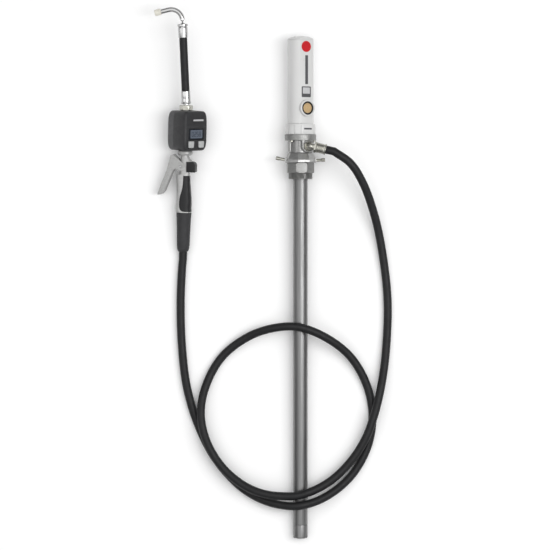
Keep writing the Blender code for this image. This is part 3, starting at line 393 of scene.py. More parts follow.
def oblong(width, height, corner, middle=(0.0, 0.0)):
    """Corners of a rounded rectangle."""
    x, y = middle
    w, h = width / 2, height / 2
    return [(x - w, y - h, corner), (x + w, y - h, corner), (x + w, y + h, corner), (x - w, y + h, corner)]


def shape_with(target, operation, *tools):
    """Applies a Boolean with each tool, and removes the tool."""
    for tool in tools:
        step = target.modifiers.new(tool.name, "BOOLEAN")
        step.operation = operation
        step.solver = "EXACT"
        step.object = tool
        bpy.context.view_layer.update()
        shown = target.evaluated_get(bpy.context.evaluated_depsgraph_get())
        result = bpy.data.meshes.new_from_object(shown)
        result.validate()
        target.modifiers.clear()
        target.data = result
        bpy.data.objects.remove(tool)
    return target


def cut(target, *tools):
    return shape_with(target, "DIFFERENCE", *tools)


def join(target, *tools):
    return shape_with(target, "UNION", *tools)


def keep(target, *tools):
    return shape_with(target, "INTERSECT", *tools)


def soften(piece, width, segments=2, sharp=30):
    """Rounds the edges of a piece that are sharper than that many degrees."""
    shape = bmesh.new()
    shape.from_mesh(piece.data)
    bmesh.ops.remove_doubles(shape, verts=shape.verts, dist=0.000002)
    bmesh.ops.dissolve_limit(shape, angle_limit=math.radians(0.5), verts=shape.verts, edges=shape.edges)
    edges = [
        edge for edge in shape.edges
        if len(edge.link_faces) == 2 and edge.calc_face_angle(0) > math.radians(sharp)
    ]
    bmesh.ops.bevel(shape, geom=edges, offset=width, offset_type="OFFSET", segments=segments,
                    profile=0.5, affect="EDGES", clamp_overlap=True)
    shape.to_mesh(piece.data)
    shape.free()
    shade(piece.data)
    return piece


def placed(piece, body, slot, *nodes):
    """Rides a piece on its body and hides the CAD nodes it stands for; the slot argument is not used."""
    shade(piece.data)
    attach(piece, body)
    if nodes:
        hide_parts(*nodes)
    return piece


def nut(name, outline, corner_radius, place, look, sides=6, turn=0.0):
    """A hexagon or octagon whose corners a turned outline cuts back, as on a real nut."""
    body = turned(name, outline, place, look)
    low = min(point[1] for point in outline)
    high = max(point[1] for point in outline)
    flats = turned(f"{name}_flats", [
        (0, low - 0.001), (corner_radius, low - 0.001), (corner_radius, high + 0.001), (0, high + 0.001),
    ], place, sides=sides, turn=turn)
    return keep(body, flats)


def swept(name, path, radius, bore, place, look):
    """A round tube along a path of (point, direction) in a frame."""
    rings = []
    for size, stretch in ((radius, path), (bore, path[::-1])):
        for point, direction in stretch:
            turn = Vector(direction).to_track_quat("Z", "Y")
            rings.append([Vector(point) + turn @ Vector(spoke) for spoke in circle(size, 0, SMALL)])
    return loft(name, rings, place, look, True)


def threaded(name, radius, depth, pitch, low, high, bore, place, look):
    """A threaded sleeve, whose grooves run out at both ends."""
    steps = math.ceil((high - low) / pitch * 10)
    rings = []
    for level in range(steps + 1):
        height = low + (high - low) * level / steps
        fade = min(1.0, (height - low) / (0.6 * pitch), (high - height) / (0.6 * pitch))
        taper = 0.0012 * max(0.0, 1 - (height - low) / (0.8 * pitch))
        ring = []
        for step in range(FINE):
            phase = (height / pitch - step / FINE) % 1.0
            size = radius - depth * (1 - abs(2 * phase - 1)) * fade - taper
            angle = math.tau * step / FINE
            ring.append((size * math.cos(angle), size * math.sin(angle), height))
        rings.append(ring)
    rings += [circle(bore, high, FINE), circle(bore, low, FINE)]
    return loft(name, rings, place, look, True)


def brick(name, low, high, place, look=None):
    """A box between two corners."""
    outline = [(low[0], low[1]), (high[0], low[1]), (high[0], high[1]), (low[0], high[1])]
    return slab(name, outline, low[2], high[2], place, look)


def blended(rows, count):
    """Rows of numbers with that many smooth steps between each two."""
    knots = [rows[0], *rows, rows[-1]]
    fine = []
    for index in range(1, len(knots) - 2):
        before, start, end, after = knots[index - 1:index + 3]
        for step in range(count):
            t = step / count
            fine.append([
                0.5 * (2 * b + (c - a) * t + (2 * a - 5 * b + 4 * c - d) * t * t
                       + (3 * b - a - 3 * c + d) * t ** 3)
                for a, b, c, d in zip(before, start, end, after)
            ])
    fine.append(list(rows[-1]))
    return fine


# Camera, floor and light

FRAME_WIDTH = 1.336
LENS = 200.0
FILM = 36.0
MIDDLE = (0.083, -0.0035)
SUBJECT_HEIGHT = 0.04

camera_data = bpy.data.cameras.new("camera")
camera_data.lens = LENS
camera_data.sensor_width = FILM
camera_data.clip_end = 60.0
camera = bpy.data.objects.new("camera", camera_data)
camera.location = (*MIDDLE, SUBJECT_HEIGHT + FRAME_WIDTH * LENS / FILM)
bpy.context.collection.objects.link(camera)
bpy.context.scene.camera = camera
bpy.context.scene.view_settings.view_transform = "Standard"


def add_light(name, place, aim, size, power):
    """A rectangular softbox that the camera doesn't see."""
    data = bpy.data.lights.new(name, "AREA")
    data.shape = "RECTANGLE"
    data.size, data.size_y = size
    data.energy = power
    light = bpy.data.objects.new(name, data)
    light.location = place
    light.rotation_euler = (Vector(place) - Vector(aim)).to_track_quat("Z", "Y").to_euler()
    light.visible_camera = False
    bpy.context.collection.objects.link(light)


def make_studio():
    """A pale floor under a broad overhead light, with a softbox at each side."""
    floor_look = bpy.data.materials.new("floor")
    floor_look.use_nodes = True
    shader = floor_look.node_tree.nodes["Principled BSDF"]
    shader.inputs["Base Color"].default_value = (0.98, 0.98, 0.98, 1)
    shader.inputs["Roughness"].default_value = 0.9
    shader.inputs["Specular IOR Level"].default_value = 0.1
    reach = 12.0
    corners = [(-reach, -reach, 0), (reach, -reach, 0), (reach, reach, 0), (-reach, reach, 0)]
    floor = new_piece("floor", corners, [(0, 1, 2, 3)], Matrix.Identity(4))
    floor.data.materials.append(floor_look)
    world = bpy.data.worlds.new("studio")
    world.use_nodes = True
    tree = world.node_tree
    split = tree.nodes.new("ShaderNodeSeparateXYZ")
    tree.links.new(tree.nodes.new("ShaderNodeTexCoord").outputs["Generated"], split.inputs["Vector"])
    ramp = tree.nodes.new("ShaderNodeValToRGB")
    ramp.color_ramp.elements[0].position = 0.05
    ramp.color_ramp.elements[0].color = (0.16, 0.16, 0.165, 1)
    ramp.color_ramp.elements[1].position = 0.75
    ramp.color_ramp.elements[1].color = (1, 1, 1, 1)
    tree.links.new(split.outputs["Z"], ramp.inputs["Fac"])
    tree.links.new(ramp.outputs["Color"], tree.nodes["Background"].inputs["Color"])
    tree.nodes["Background"].inputs["Strength"].default_value = 0.55
    bpy.context.scene.world = world
    add_light("overhead", (-0.2, 0.3, 8.2), (0.08, 0, 0), (11.0, 11.0), 335.0)
    add_light("right_softbox", (2.3, 0.2, 3.6), (0.1, 0.0, 0), (1.4, 3.6), 70.0)
    add_light("left_softbox", (-3.0, 0.2, 2.0), (0.0, 0.1, 0), (0.8, 3.2), 10.0)


# Hose

HOSE_RADIUS = 0.0100
ORIGIN = Vector((0.0025, -0.0016, 0.0003))
HOSE_ROUTE = [
    (0.268, 0.2650, 0.0765), (0.298, 0.2190, 0.0610), (0.325, 0.1480, 0.0360), (0.344, 0.0680, 0.0165),
    (0.360, -0.066, 0.0110), (0.355, -0.200, 0.0140), (0.343, -0.280, 0.0265),
    (0.327, -0.345, 0.0325), (0.304, -0.406, 0.0318), (0.265, -0.464, 0.0322),
    (0.214, -0.510, 0.0385), (0.150, -0.5385, 0.0500), (0.107, -0.542, 0.0488),
    (0.054, -0.535, 0.0475), (0.003, -0.512, 0.0410), (-0.048, -0.466, 0.0350),
    (-0.083, -0.404, 0.0325), (-0.095, -0.338, 0.0280), (-0.081, -0.270, 0.0165),
    (-0.042, -0.203, 0.0120), (0.025, -0.153, 0.0275), (0.093, -0.132, 0.0512),
    (0.146, -0.132, 0.0588), (0.209, -0.157, 0.0485), (0.268, -0.203, 0.0250),
    (0.307, -0.268, 0.0120), (0.323, -0.340, 0.0110), (0.313, -0.418, 0.0113),
    (0.273, -0.492, 0.0185), (0.209, -0.544, 0.0360), (0.146, -0.565, 0.0498),
    (0.100, -0.564, 0.0390), (0.050, -0.550, 0.0250), (-0.002, -0.518, 0.0135),
    (-0.062, -0.450, 0.0110), (-0.104, -0.365, 0.0110), (-0.130, -0.275, 0.0110),
    (-0.142, -0.170, 0.0110), (-0.1445, -0.066, 0.0110), (-0.141, 0.012, 0.0118),
]


def curve_piece(knots, count):
    """Points on the centripetal Catmull-Rom stretch between the two middle knots."""
    times = [0.0]
    for a, b in zip(knots, knots[1:]):
        times.append(times[-1] + math.sqrt((b - a).length))
    points = []
    for step in range(count):
        time = times[1] + (times[2] - times[1]) * step / count
        level = list(knots)
        for width in (1, 2):
            level = [
                level[i].lerp(level[i + 1], (time - times[i]) / (times[i + width] - times[i]))
                for i in range(len(level) - 1)
            ]
        low, high = level
        points.append(low.lerp(high, (time - times[1]) / (times[2] - times[1])))
    return points


def make_hose():
    """The delivery hose, a cord from the ferrule at the pump to the gun's boot."""
    first = HOSE_END @ Vector((0, 0, FERRULE_END + GAP))
    second = HOSE_END @ Vector((0, 0, 0.0580))
    before_last = GUN @ Vector((0, 0, -0.0200))
    last = GUN @ Vector((0, 0, -GAP))
    route = [second, *[Vector(point) - ORIGIN for point in HOSE_ROUTE], before_last]
    knots = [2 * route[0] - route[1], *route, 2 * route[-1] - route[-2]]
    points = [first]
    for index in range(1, len(knots) - 2):
        points.extend(curve_piece(knots[index - 1:index + 3], 10))
    points.extend([route[-1], last])
    curve = bpy.data.curves.new("hose", "CURVE")
    curve.dimensions = "3D"
    curve.bevel_depth = HOSE_RADIUS
    curve.bevel_resolution = 8
    curve.use_fill_caps = True
    spline = curve.splines.new("POLY")
    spline.points.add(len(points) - 1)
    for point, spot in zip(spline.points, points):
        point.co = (*spot, 1.0)
    hose = bpy.data.objects.new("hose", curve)
    curve.materials.append(LOOKS["hose_rubber"])
    bpy.context.collection.objects.link(hose)
    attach(hose, "pump")
    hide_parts("delivery_hose")


# Pump

def make_foot():
    spigot = TUBE_BORE - GAP
    body = turned("foot_valve", [
        (0.0090, 0.0, 0.0005), (0.0157, 0.0, 0.0008), (TUBE_RADIUS, 0.0022, 0.0008),
        (TUBE_RADIUS, FOOT_TOP, 0.0006), (spigot, FOOT_TOP), (spigot, 0.0420), (0.0105, 0.0420),
        (0.0105, 0.0180), (0.0060, 0.0160), (0.0060, 0.0120), (0.0090, 0.0105),
    ], PUMP, "galvanised_tube")
    notch = [(-0.0055, -0.0010), (0.0055, -0.0010), (0.0, 0.0100)]
    for index in range(3):
        turn = Euler((0, 0, math.radians(128 + 120 * index))).to_matrix().to_4x4()
        rings = [[(x, y, z) for x, z in notch] for y in (0.0080, 0.0200)]
        cut(body, loft(f"foot_notch_{index}", rings, PUMP @ turn))
    soften(body, 0.0002, 1)
    placed(body, "pump", "galvanised_tube", "foot_valve_body")


def make_tube():
    tube = turned("tube", [
        (TUBE_BORE, FOOT_TOP + GAP), (TUBE_RADIUS, FOOT_TOP + GAP, 0.0005),
        (TUBE_RADIUS, TUBE_TOP, 0.0005), (TUBE_BORE, TUBE_TOP),
    ], PUMP, "galvanised_tube")
    placed(tube, "pump", "galvanised_tube", "suction_tube")


def make_adapter():
    """The eight sided collar, the threaded sleeve below it and the ring that the wing nut squeezes."""
    adapter = within(PUMP, (0, 0, COLLAR_BOTTOM))
    low = THREAD_BOTTOM - COLLAR_BOTTOM
    top = COLLAR_TOP - COLLAR_BOTTOM
    bore = TUBE_RADIUS + GAP
    collar = nut("adapter", [
        (0.0200, 0), (0.0328, 0, 0.0004), (0.0349, 0.0028, 0.0010), (0.0349, top - 0.0028, 0.0010),
        (0.0328, top, 0.0004), (0.0200, top),
    ], COLLAR_CORNER, adapter, "cast_aluminium", 8, math.radians(-18))
    hub = turned("adapter_hub", [
        (0.0190, -0.0005), (0.0260, -0.0005), (0.0260, 0.0310, 0.0008), (0.0190, 0.0310),
    ], adapter)
    body = threaded("adapter_thread", THREAD_RADIUS, THREAD_DEPTH, THREAD_PITCH, low, 0.001, bore + 0.0002,
                    adapter, "cast_aluminium")
    join(collar, hub)
    soften(collar, 0.0006, 2, 25)
    placed(collar, "bung_adapter", "cast_aluminium", "bung_adapter")
    cut(body, brick("adapter_slot", (0.0095, -0.0310, low - 0.001), (0.0125, -0.0230, -0.002), adapter))
    placed(body, "bung_adapter", "cast_aluminium", "bung_adapter")
    ring = turned("packing_ring", [
        (bore, 0.0313), (0.0250, 0.0313, 0.0012), (0.0250, 0.0410, 0.0012), (bore, 0.0410),
    ], adapter, "seal_rubber")
    placed(ring, "bung_adapter", "seal_rubber", "clamp_ring")


def make_wing_nut():
    top = WING_TOP - COLLAR_TOP - 0.0004
    body = turned("wing_cap", [
        (0, 0), (0.0366, 0), (0.0376, 0.0010), (0.0376, 0.0070), (0.0362, 0.0080), (0.0312, top - 0.001),
        (0.0298, top), (0, top),
    ], WING, "wing_casting", 8, math.radians(-9.6))
    for side, tip in ((-1, (0.0600, 0.0115)), (1, (0.0600, 0.0070))):
        name = "wing_handle_left" if side < 0 else "wing_handle_right"
        root = (0.0285, 0.0053)
        lug = side_slab(f"{name}_lug", [
            (side * 0.0275, 0.0006, 0.0006), (side * 0.0384, 0.0008, 0.0018),
            (side * 0.0382, 0.0120, 0.0024), (side * 0.0277, 0.0124, 0.0006),
        ], 0.0064, WING)
        join(body, lug)
        reach = Vector((side * (tip[0] - root[0]), 0, tip[1] - root[1]))
        arm = within(WING, (side * root[0], 0, root[1]), (0, math.atan2(reach.x, reach.z), 0))
        length = reach.length
        handle = turned(name + "_bar", [
            (0, 0), (0.0038, 0), (0.0038, length - 0.0095, 0.0010), (0.0046, length - 0.0080, 0.0008),
            (0.0046, length - 0.0002, 0.0014), (0, length - 0.0002),
        ], arm, "zinc_plate", SMALL)
        placed(handle, "wing_nut", "zinc_plate", name)
    cut(body, turned("wing_bore", [
        (0, -0.001), (0.0264, -0.001), (0.0264, 0.0168), (0.0180, 0.0178), (0.0180, top + 0.001),
        (0, top + 0.001),
    ], WING))
    soften(body, 0.0006, 2, 20)
    placed(body, "wing_nut", "cast_aluminium", "wing_nut")


def make_flange_screw(number, seat):
    """A socket screw, put in from below the flange."""
    top = FLANGE_BOTTOM - GAP
    socket = top - 0.0018
    bottom = top - 0.0040
    tip = 0.9980
    screw = turned(f"screw_{number}", [
        (0, socket), (0.0018, socket), (0.0018, bottom), (0.0036, bottom, 0.0005), (0.0036, top),
        (0.0020, top), (0.0020, tip), (0, tip),
    ], seat, "zinc_plate", SMALL)
    placed(screw, "pump", "zinc_plate", f"flange_screw_{number}")


def make_outlet():
    """The cast head: a ribbed neck, a flange and the boss that faces the hose."""
    body = turned("head_flange", [
        (0.0178, NECK_BOTTOM), (NECK_RADIUS, NECK_BOTTOM, 0.0008), (NECK_RADIUS, FLANGE_BOTTOM, 0.0012),
        (FLANGE_RADIUS, FLANGE_BOTTOM, 0.0010), (FLANGE_RADIUS, FLANGE_TOP, 0.0010), (0.0090, FLANGE_TOP),
        (0.0090, 0.9750), (0.0120, 0.9750), (0.0120, TUBE_TOP + GAP), (0.0178, TUBE_TOP + GAP),
    ], PUMP, "cast_aluminium")
    for angle in (-112, -150, 172, 128, 84, 42, 4):
        rib = within(PUMP, turn=(0, 0, math.radians(angle)))
        join(body, brick(f"neck_rib_{angle + 180}", (0.0230, -0.0016, NECK_BOTTOM + 0.003),
                         (0.0304, 0.0016, FLANGE_BOTTOM + 0.002), rib))
    boss = turned("outlet_boss", [
        (0, 0.0205), (0.0154, 0.0205), (0.0154, BOSS_FACE, 0.0012), (0, BOSS_FACE),
    ], OUTLET)
    rise = FLANGE_BOTTOM + 0.001 - OUTLET_HEIGHT
    pad = brick("outlet_pad", (-rise, -0.0152, 0.0215), (0, 0.0152, BOSS_FACE - 0.0002), OUTLET)
    join(body, boss, pad)
    cut(body, turned("outlet_bore", [
        (0, 0), (0.0045, 0), (0.0045, 0.0225), (0.0093, 0.0225), (0.0093, 0.0350), (0, 0.0350),
    ], OUTLET))
    for index, angle in enumerate((50, 130, 230, 350)):
        turn = math.radians(angle)
        seat = within(PUMP, (SCREW_CIRCLE * math.cos(turn), SCREW_CIRCLE * math.sin(turn), 0))
        cut(body, rod(f"screw_hole_{index}", 0.0023, FLANGE_BOTTOM - 0.004, FLANGE_TOP + 0.001, seat,
                      sides=SMALL))
        make_flange_screw(index + 1, seat)
    soften(body, 0.0005, 2)
    placed(body, "pump", "cast_aluminium", "outlet_body")


def make_outlet_fittings():
    """The elbow nipple, the swivel nut and the crimped ferrule."""
    nipple = nut("nipple", [
        (0, BOSS_FACE + GAP), (0.0116, BOSS_FACE + GAP, 0.0002), (0.0125, BOSS_FACE + 0.0012, 0.0004),
        (0.0125, HEX_TOP - 0.0008, 0.0004), (0.0116, HEX_TOP, 0.0002), (0, HEX_TOP),
    ], 0.0125, OUTLET, "zinc_plate")
    bend = 0.0086
    stem = turned("nipple_stem", [
        (0, 0.0228), (0.0090, 0.0228), (0.0090, HEX_TOP), (bend, ELBOW - 0.001, 0.001), (0, ELBOW - 0.001),
    ], OUTLET)
    turns = [math.radians(angle) for angle in range(-80, 81, 10)]
    rows = [(0, -bend), *[(bend * math.cos(turn), bend * math.sin(turn)) for turn in turns], (0, bend)]
    ball = turned("nipple_ball", rows, within(OUTLET, (0, 0, ELBOW)))
    join(nipple, stem, ball, rod("nipple_neck", 0.0078, 0, 0.0088, HOSE_END))
    placed(nipple, "pump", "zinc_plate", "outlet_nipple")
    swivel = nut("swivel", [
        (0.0083, 0.0092), (0.0126, 0.0092, 0.0002), (0.0135, 0.0101, 0.0003), (0.0135, 0.0131, 0.0003),
        (0.0126, 0.0140, 0.0002), (0.0083, 0.0140),
    ], 0.0135, HOSE_END, "zinc_plate")
    placed(swivel, "swivel_nut", "zinc_plate", "swivel_nut")
    outline = [
        (0.0050, 0.0088), (0.0070, 0.0088, 0.0003), (0.0070, 0.0143), (0.0114, 0.0143, 0.0006),
        (0.0122, 0.0152, 0.0004), (0.0122, 0.0175, 0.0004),
    ]
    for ring in range(4):
        low = 0.0180 + 0.0040 * ring
        outline += [
            (0.0116, low, 0.0003), (0.0116, low + 0.0014, 0.0003),
            (0.0123, low + 0.0020, 0.0003), (0.0123, low + 0.0036, 0.0003),
        ]
    outline += [
        (0.0123, 0.0346, 0.0003), (0.0131, 0.0356, 0.0003), (0.0131, FERRULE_END, 0.0006),
        (0.0050, FERRULE_END),
    ]
    ferrule = turned("pump_ferrule", outline, HOSE_END, "zinc_plate")
    placed(ferrule, "pump", "zinc_plate", "hose_ferrule_pump")


def beyond(name, distance, low, high):
    """Everything past the flat side of the motor."""
    reach = 0.060
    side = within(PUMP, turn=(0, 0, LABEL_TURN))
    return brick(name, (-reach, -reach, low), (reach, -distance, high), side)


def make_motor_base():
    """The grooved base, with the air inlet in its side."""
    spigot = CYLINDER_BORE - GAP
    body = turned("base_block", [
        (0.0055, FLANGE_TOP + GAP), (BASE_RADIUS, FLANGE_TOP + GAP, 0.0008), (BASE_RADIUS, BASE_TOP, 0.0014),
        (spigot, BASE_TOP), (spigot, BASE_TOP + 0.0065), (0.0055, BASE_TOP + 0.0065),
    ], PUMP, "white_paint")
    cut(body, beyond("base_flat", BASE_FLAT, FLANGE_TOP, BASE_TOP + 0.001))
    for index, angle in enumerate((-25, 1, 64, -52)):
        groove = within(PUMP, turn=(0, 0, math.radians(angle)))
        cut(body, brick(f"base_groove_{index}", (-0.0017, -0.0400, FLANGE_TOP - 0.001),
                        (0.0017, -0.0344, BASE_TOP - 0.0035), groove))
    port_height = 0.9950
    spool = within(PUMP, (0, 0.0160, port_height), (0, math.pi / 2, 0))
    inlet = within(PUMP, (0, 0, port_height), (0, math.pi / 2, 0))
    cut(body, rod("spool_bore", 0.0055, -0.040, 0.018, spool, sides=SMALL))
    cut(body, rod("inlet_bore", 0.0066, -0.040, -0.024, inlet, sides=SMALL))
    soften(body, 0.0004, 2)
    placed(body, "pump", "white_paint", "motor_base")
    bushing = nut("air_bushing", [
        (0.0035, -0.0355), (0.0056, -0.0355, 0.0003), (0.0063, -0.0349, 0.0003),
        (0.0063, -0.0243), (0.0035, -0.0243),
    ], 0.0080, inlet, "brass")
    placed(bushing, "pump", "brass", "air_inlet_bushing")


def make_cylinder():
    low = BASE_TOP + GAP
    body = turned("cylinder", [
        (CYLINDER_BORE, low), (CYLINDER_RADIUS, low, 0.0005), (CYLINDER_RADIUS, CYLINDER_TOP, 0.0004),
        (CYLINDER_BORE, CYLINDER_TOP),
    ], PUMP, "white_paint", 2 * FINE)
    cut(body, beyond("cylinder_flat", LABEL_FLAT, low - 0.001, CYLINDER_TOP + 0.001))
    facet = facing(PUMP, SILENCER_HEIGHT, LABEL_TURN)
    join(body, turned("exhaust_boss", [
        (0, 0.0245), (0.0200, 0.0245), (0.0200, 0.0338, 0.0012), (0, 0.0338),
    ], facet))
    cut(body, rod("exhaust_recess", 0.0164, 0.0305, 0.0350, facet))
    soften(body, 0.0004, 2)
    placed(body, "pump", "white_paint", "motor_cylinder")
    make_silencer(facet)


def make_silencer(facet):
    """The sintered disc in its rubber ring."""
    ring = turned("exhaust_ring", [
        (0.0124, 0.0308), (0.0161, 0.0308), (0.0161, 0.0330, 0.0006), (0.0124, 0.0330, 0.0006),
    ], facet, "seal_rubber")
    placed(ring, "pump", "seal_rubber", "silencer_ring")
    disc = turned("exhaust_disc", [
        (0, 0.0308), (0.0121, 0.0308), (0.0121, 0.0320, 0.0004), (0.0090, 0.0326, 0.002), (0, 0.0328),
    ], facet, "bronze")
    placed(disc, "pump", "bronze", "silencer_disc")


def make_top_cap():
    low = CYLINDER_TOP + GAP
    spigot = CYLINDER_BORE - GAP
    cap = turned("top_cap", [
        (0, low - 0.006), (spigot, low - 0.006), (spigot, low), (CYLINDER_RADIUS, low, 0.0003),
        (CYLINDER_RADIUS, low + 0.0014, 0.0012), (0.0290, low + 0.0042, 0.0030),
        (0.0190, low + 0.0074, 0.0100), (0.0095, CAP_TOP - 0.0004, 0.0100), (0, CAP_TOP),
    ], PUMP, "white_paint", 2 * FINE)
    cut(cap, beyond("cap_flat", LABEL_FLAT, low - 0.0001, CAP_TOP + 0.001))
    soften(cap, 0.0004, 2)
    placed(cap, "pump", "white_paint", "motor_top_cap")


def label(name, outline, depth, place, look):
    """A thin printed label on a flat face."""
    placed(slab(name, outline, depth, depth + PAPER, place, look), "pump", None)


def make_motor_labels():
    facet = facing(PUMP, 0, LABEL_TURN)
    over = LABEL_FLAT + PAPER
    disc = rod("red_disc", 0.0134, LABEL_FLAT, over, within(facet, (0, 1.1946, 0)), "label_red")
    placed(disc, "pump", None)
    label("grey_bar", oblong(0.0078, 0.0700, 0.0012, (0.0010, 1.1385)), LABEL_FLAT, facet, "label_grey")
    label("grey_patch", oblong(0.0262, 0.0260, 0.0020, (0.0, 1.0850)), LABEL_FLAT, facet, "label_grey")
    label("light_block", oblong(0.0200, 0.0150, 0.0010, (0.0, 1.0880)), over, facet, "label_light")
    label("base_bar", oblong(0.0220, 0.0040, 0.0006, (0.0, 0.9955)), BASE_FLAT, facet, "label_grey")


# Gun

def oval(left, right, half_depth, height, roundness=2.6, count=64):
    """A rounded cross-section between a left and a right edge."""
    middle = (left + right) / 2
    half = (right - left) / 2
    ring = []
    for step in range(count):
        angle = math.tau * step / count
        wide = math.copysign(abs(math.cos(angle)) ** (2 / roundness), math.cos(angle))
        deep = math.copysign(abs(math.sin(angle)) ** (2 / roundness), math.sin(angle))
        ring.append((middle + half * wide, half_depth * deep, height))
    return ring


def grip_rings(inset):
    """Cross-sections of the grip, smoothly blended."""
    sections = [
        (0.0955, -0.0190, 0.0182, 0.0182), (0.0990, -0.0196, 0.0180, 0.0180),
        (0.1080, -0.0204, 0.0174, 0.0172), (0.1220, -0.0192, 0.0178, 0.0165),
        (0.1400, -0.0188, 0.0164, 0.0152), (0.1600, -0.0190, 0.0146, 0.0142),
        (0.1780, -0.0200, 0.0134, 0.0136), (0.1880, -0.0206, 0.0130, 0.0132),
    ]
    return [
        oval(left + inset, right - inset, depth - inset, height)
        for height, left, right, depth in blended(sections, 6)
    ]


def insert_region(name, grow):
    """The part of the grip, seen from the side, that the rubber covers."""
    left = [
        (0.0120, 0.0975), (0.0020, 0.0982), (-0.0040, 0.1005), (-0.0080, 0.1070),
        (-0.0092, 0.1200), (-0.0078, 0.1340), (-0.0044, 0.1470), (-0.0018, 0.1600),
        (-0.0010, 0.1720),
    ]
    top = 0.1850
    outline = [(x - grow, z - grow) for x, z in blended(left, 4)]
    outline += [(-0.0008 - grow, top + grow), (0.0300, top + grow), (0.0300, 0.0975 - grow)]
    return side_slab(name, outline, 0.0250, HANDLE)


def across(place, point, axis="x"):
    """A frame whose Z points along X or along -Y of another."""
    turn = (0, math.pi / 2, 0) if axis == "x" else (math.pi / 2, 0, 0)
    return within(place, point, turn)


def make_handle():
    """The cast handle: the grip's core, the valve's head and the neck under the meter."""
    body = loft("handle", grip_rings(0), HANDLE, "handle_casting")
    cut(body, insert_region("insert_room", GAP))
    join(body, loft("grip_core", grip_rings(0.0034), HANDLE))
    sections = [
        (0.1862, -0.0120, 0.0120, 2.6), (0.1900, -0.0122, 0.0128, 2.6), (0.2060, -0.0122, 0.0130, 2.6),
        (0.2160, -0.0118, 0.0120, 2.6), (0.2225, -0.0105, 0.0105, 2.0), (0.2400, -0.0100, 0.0100, 2.0),
    ]
    head = loft("valve_head", [
        oval(left, right, 0.0100, height, roundness)
        for height, left, right, roundness in blended(sections, 5)
    ], HANDLE)
    flare = [
        (0.2196, -0.0116, 0.0196, 2.6), (0.2215, -0.0112, 0.0176, 2.6), (0.2260, -0.0104, 0.0130, 2.6),
        (0.2320, -0.0100, 0.0104, 2.0),
    ]
    join(body, head, loft("neck_flare", [
        oval(left, right, 0.0098, height, roundness) for height, left, right, roundness in blended(flare, 5)
    ], HANDLE))
    valve = across(HANDLE, (0, 0, VALVE_HEIGHT))
    cut(body, rod("valve_bore", 0.0048, -0.015, 0.015, valve, sides=SMALL))
    cut(body, rod("pin_bore", PIN_HOLE, -0.015, 0.015, across(LEVER, (0, 0, 0), "y"), sides=SMALL))
    cut(body, rod("hose_bore", 0.0098, 0.093, 0.1210, HANDLE))
    placed(body, "gun", "cast_aluminium", "handle_body")


def make_grip_insert():
    insert = loft("grip", grip_rings(-0.0002), HANDLE, "grip_rubber")
    keep(insert, insert_region("insert_keep", 0))
    cut(insert, loft("insert_core", grip_rings(0.0031), HANDLE))
    soften(insert, 0.0004, 2, 40)
    placed(insert, "gun", "grip_rubber", "grip_insert")


def make_lever():
    """The cast lever, whose pad pushes the valve stem, and its pin."""
    outline = [
        (-0.0259, 0.0257, 0.0010), (-0.0189, 0.0282, 0.0020), (-0.0080, 0.0190, 0.0060),
        (0.0088, 0.0052, 0.0040), (0.0122, 0.0010, 0.0030), (0.0118, -0.0045, 0.0030),
        (0.0060, -0.0100, 0.0040), (-0.0040, -0.0110, 0.0050), (-0.0122, -0.0050, 0.0030),
        (-0.0190, -0.0120, 0.0060), (-0.0246, -0.0258, 0.0100), (-0.0333, -0.0470, 0.0200),
        (-0.0390, -0.0617, 0.0060), (-0.0460, -0.0697, 0.0030), (-0.0566, -0.0713, 0.0012),
        (-0.0454, -0.0385, 0.0300), (-0.0342, -0.0104, 0.0200), (-0.0285, 0.0120, 0.0200),
    ]
    half_width = 0.0125
    body = side_slab("lever", outline, half_width, LEVER, "lever_casting")
    inside = [
        (-0.0240, 0.0330), (-0.0240, 0.0240), (-0.0264, 0.0118), (-0.0321, -0.0112),
        (-0.0433, -0.0390), (-0.0530, -0.0665), (-0.0500, -0.0800), (0.0200, -0.0800),
        (0.0200, 0.0330),
    ]
    cut(body, side_slab("lever_inside", inside, half_width - 0.0020, LEVER))
    pad = brick("lever_pad", (-0.0104, -0.0110, -0.0104), (-0.0080, 0.0110, -0.0050), LEVER)
    join(body, pad)
    pin = across(LEVER, (0, 0, 0), "y")
    cut(body, rod("lever_hole", PIN_HOLE, -0.02, 0.02, pin, sides=SMALL))
    soften(body, 0.0007, 3, 40)
    placed(body, "trigger_lever", "cast_aluminium", "trigger_lever")
    rivet = turned("pivot_pin", [
        (0, -0.0135), (0.0025, -0.0135, 0.0008), (0.0025, 0.0135, 0.0008), (0, 0.0135),
    ], pin, "steel", SMALL)
    placed(rivet, "gun", "steel", "lever_pin")


def make_valve_cap():
    outline = [
        (0.0060, 0.1940), (0.0276, 0.1940, 0.0012), (0.0276, 0.2192, 0.0090), (0.0060, 0.2192),
    ]
    cap = side_slab("valve_cover", outline, 0.0128, HANDLE, "grip_rubber")
    cut(cap, loft("head_room", [
        oval(-0.0126, 0.0134, 0.0104, 0.1850), oval(-0.0126, 0.0134, 0.0104, 0.2230),
    ], HANDLE))
    spring = across(HANDLE, (0, 0, VALVE_HEIGHT + 0.0022))
    cut(cap, rod("spring_room", 0.0070, 0.010, 0.027, spring, sides=SMALL))
    soften(cap, 0.0012, 3, 50)
    placed(cap, "gun", "grip_rubber", "valve_cap")


def make_boot():
    boot = turned("boot", [
        (0.0108, 0, 0.0006), (0.0122, 0, 0.0010), (0.0146, 0.0060, 0.0030), (0.0156, 0.0150, 0.0200),
        (0.0160, 0.0300, 0.0400), (0.0166, 0.0550, 0.0600), (0.0176, 0.0800, 0.0600),
        (0.0185, 0.0910, 0.0100), (0.0187, BOOT_TOP, 0.0008), (0.0135, BOOT_TOP), (0.0135, 0.0060),
        (0.0108, 0.0045),
    ], GUN, "boot_rubber")
    placed(boot, "gun", "boot_rubber", "hose_boot")


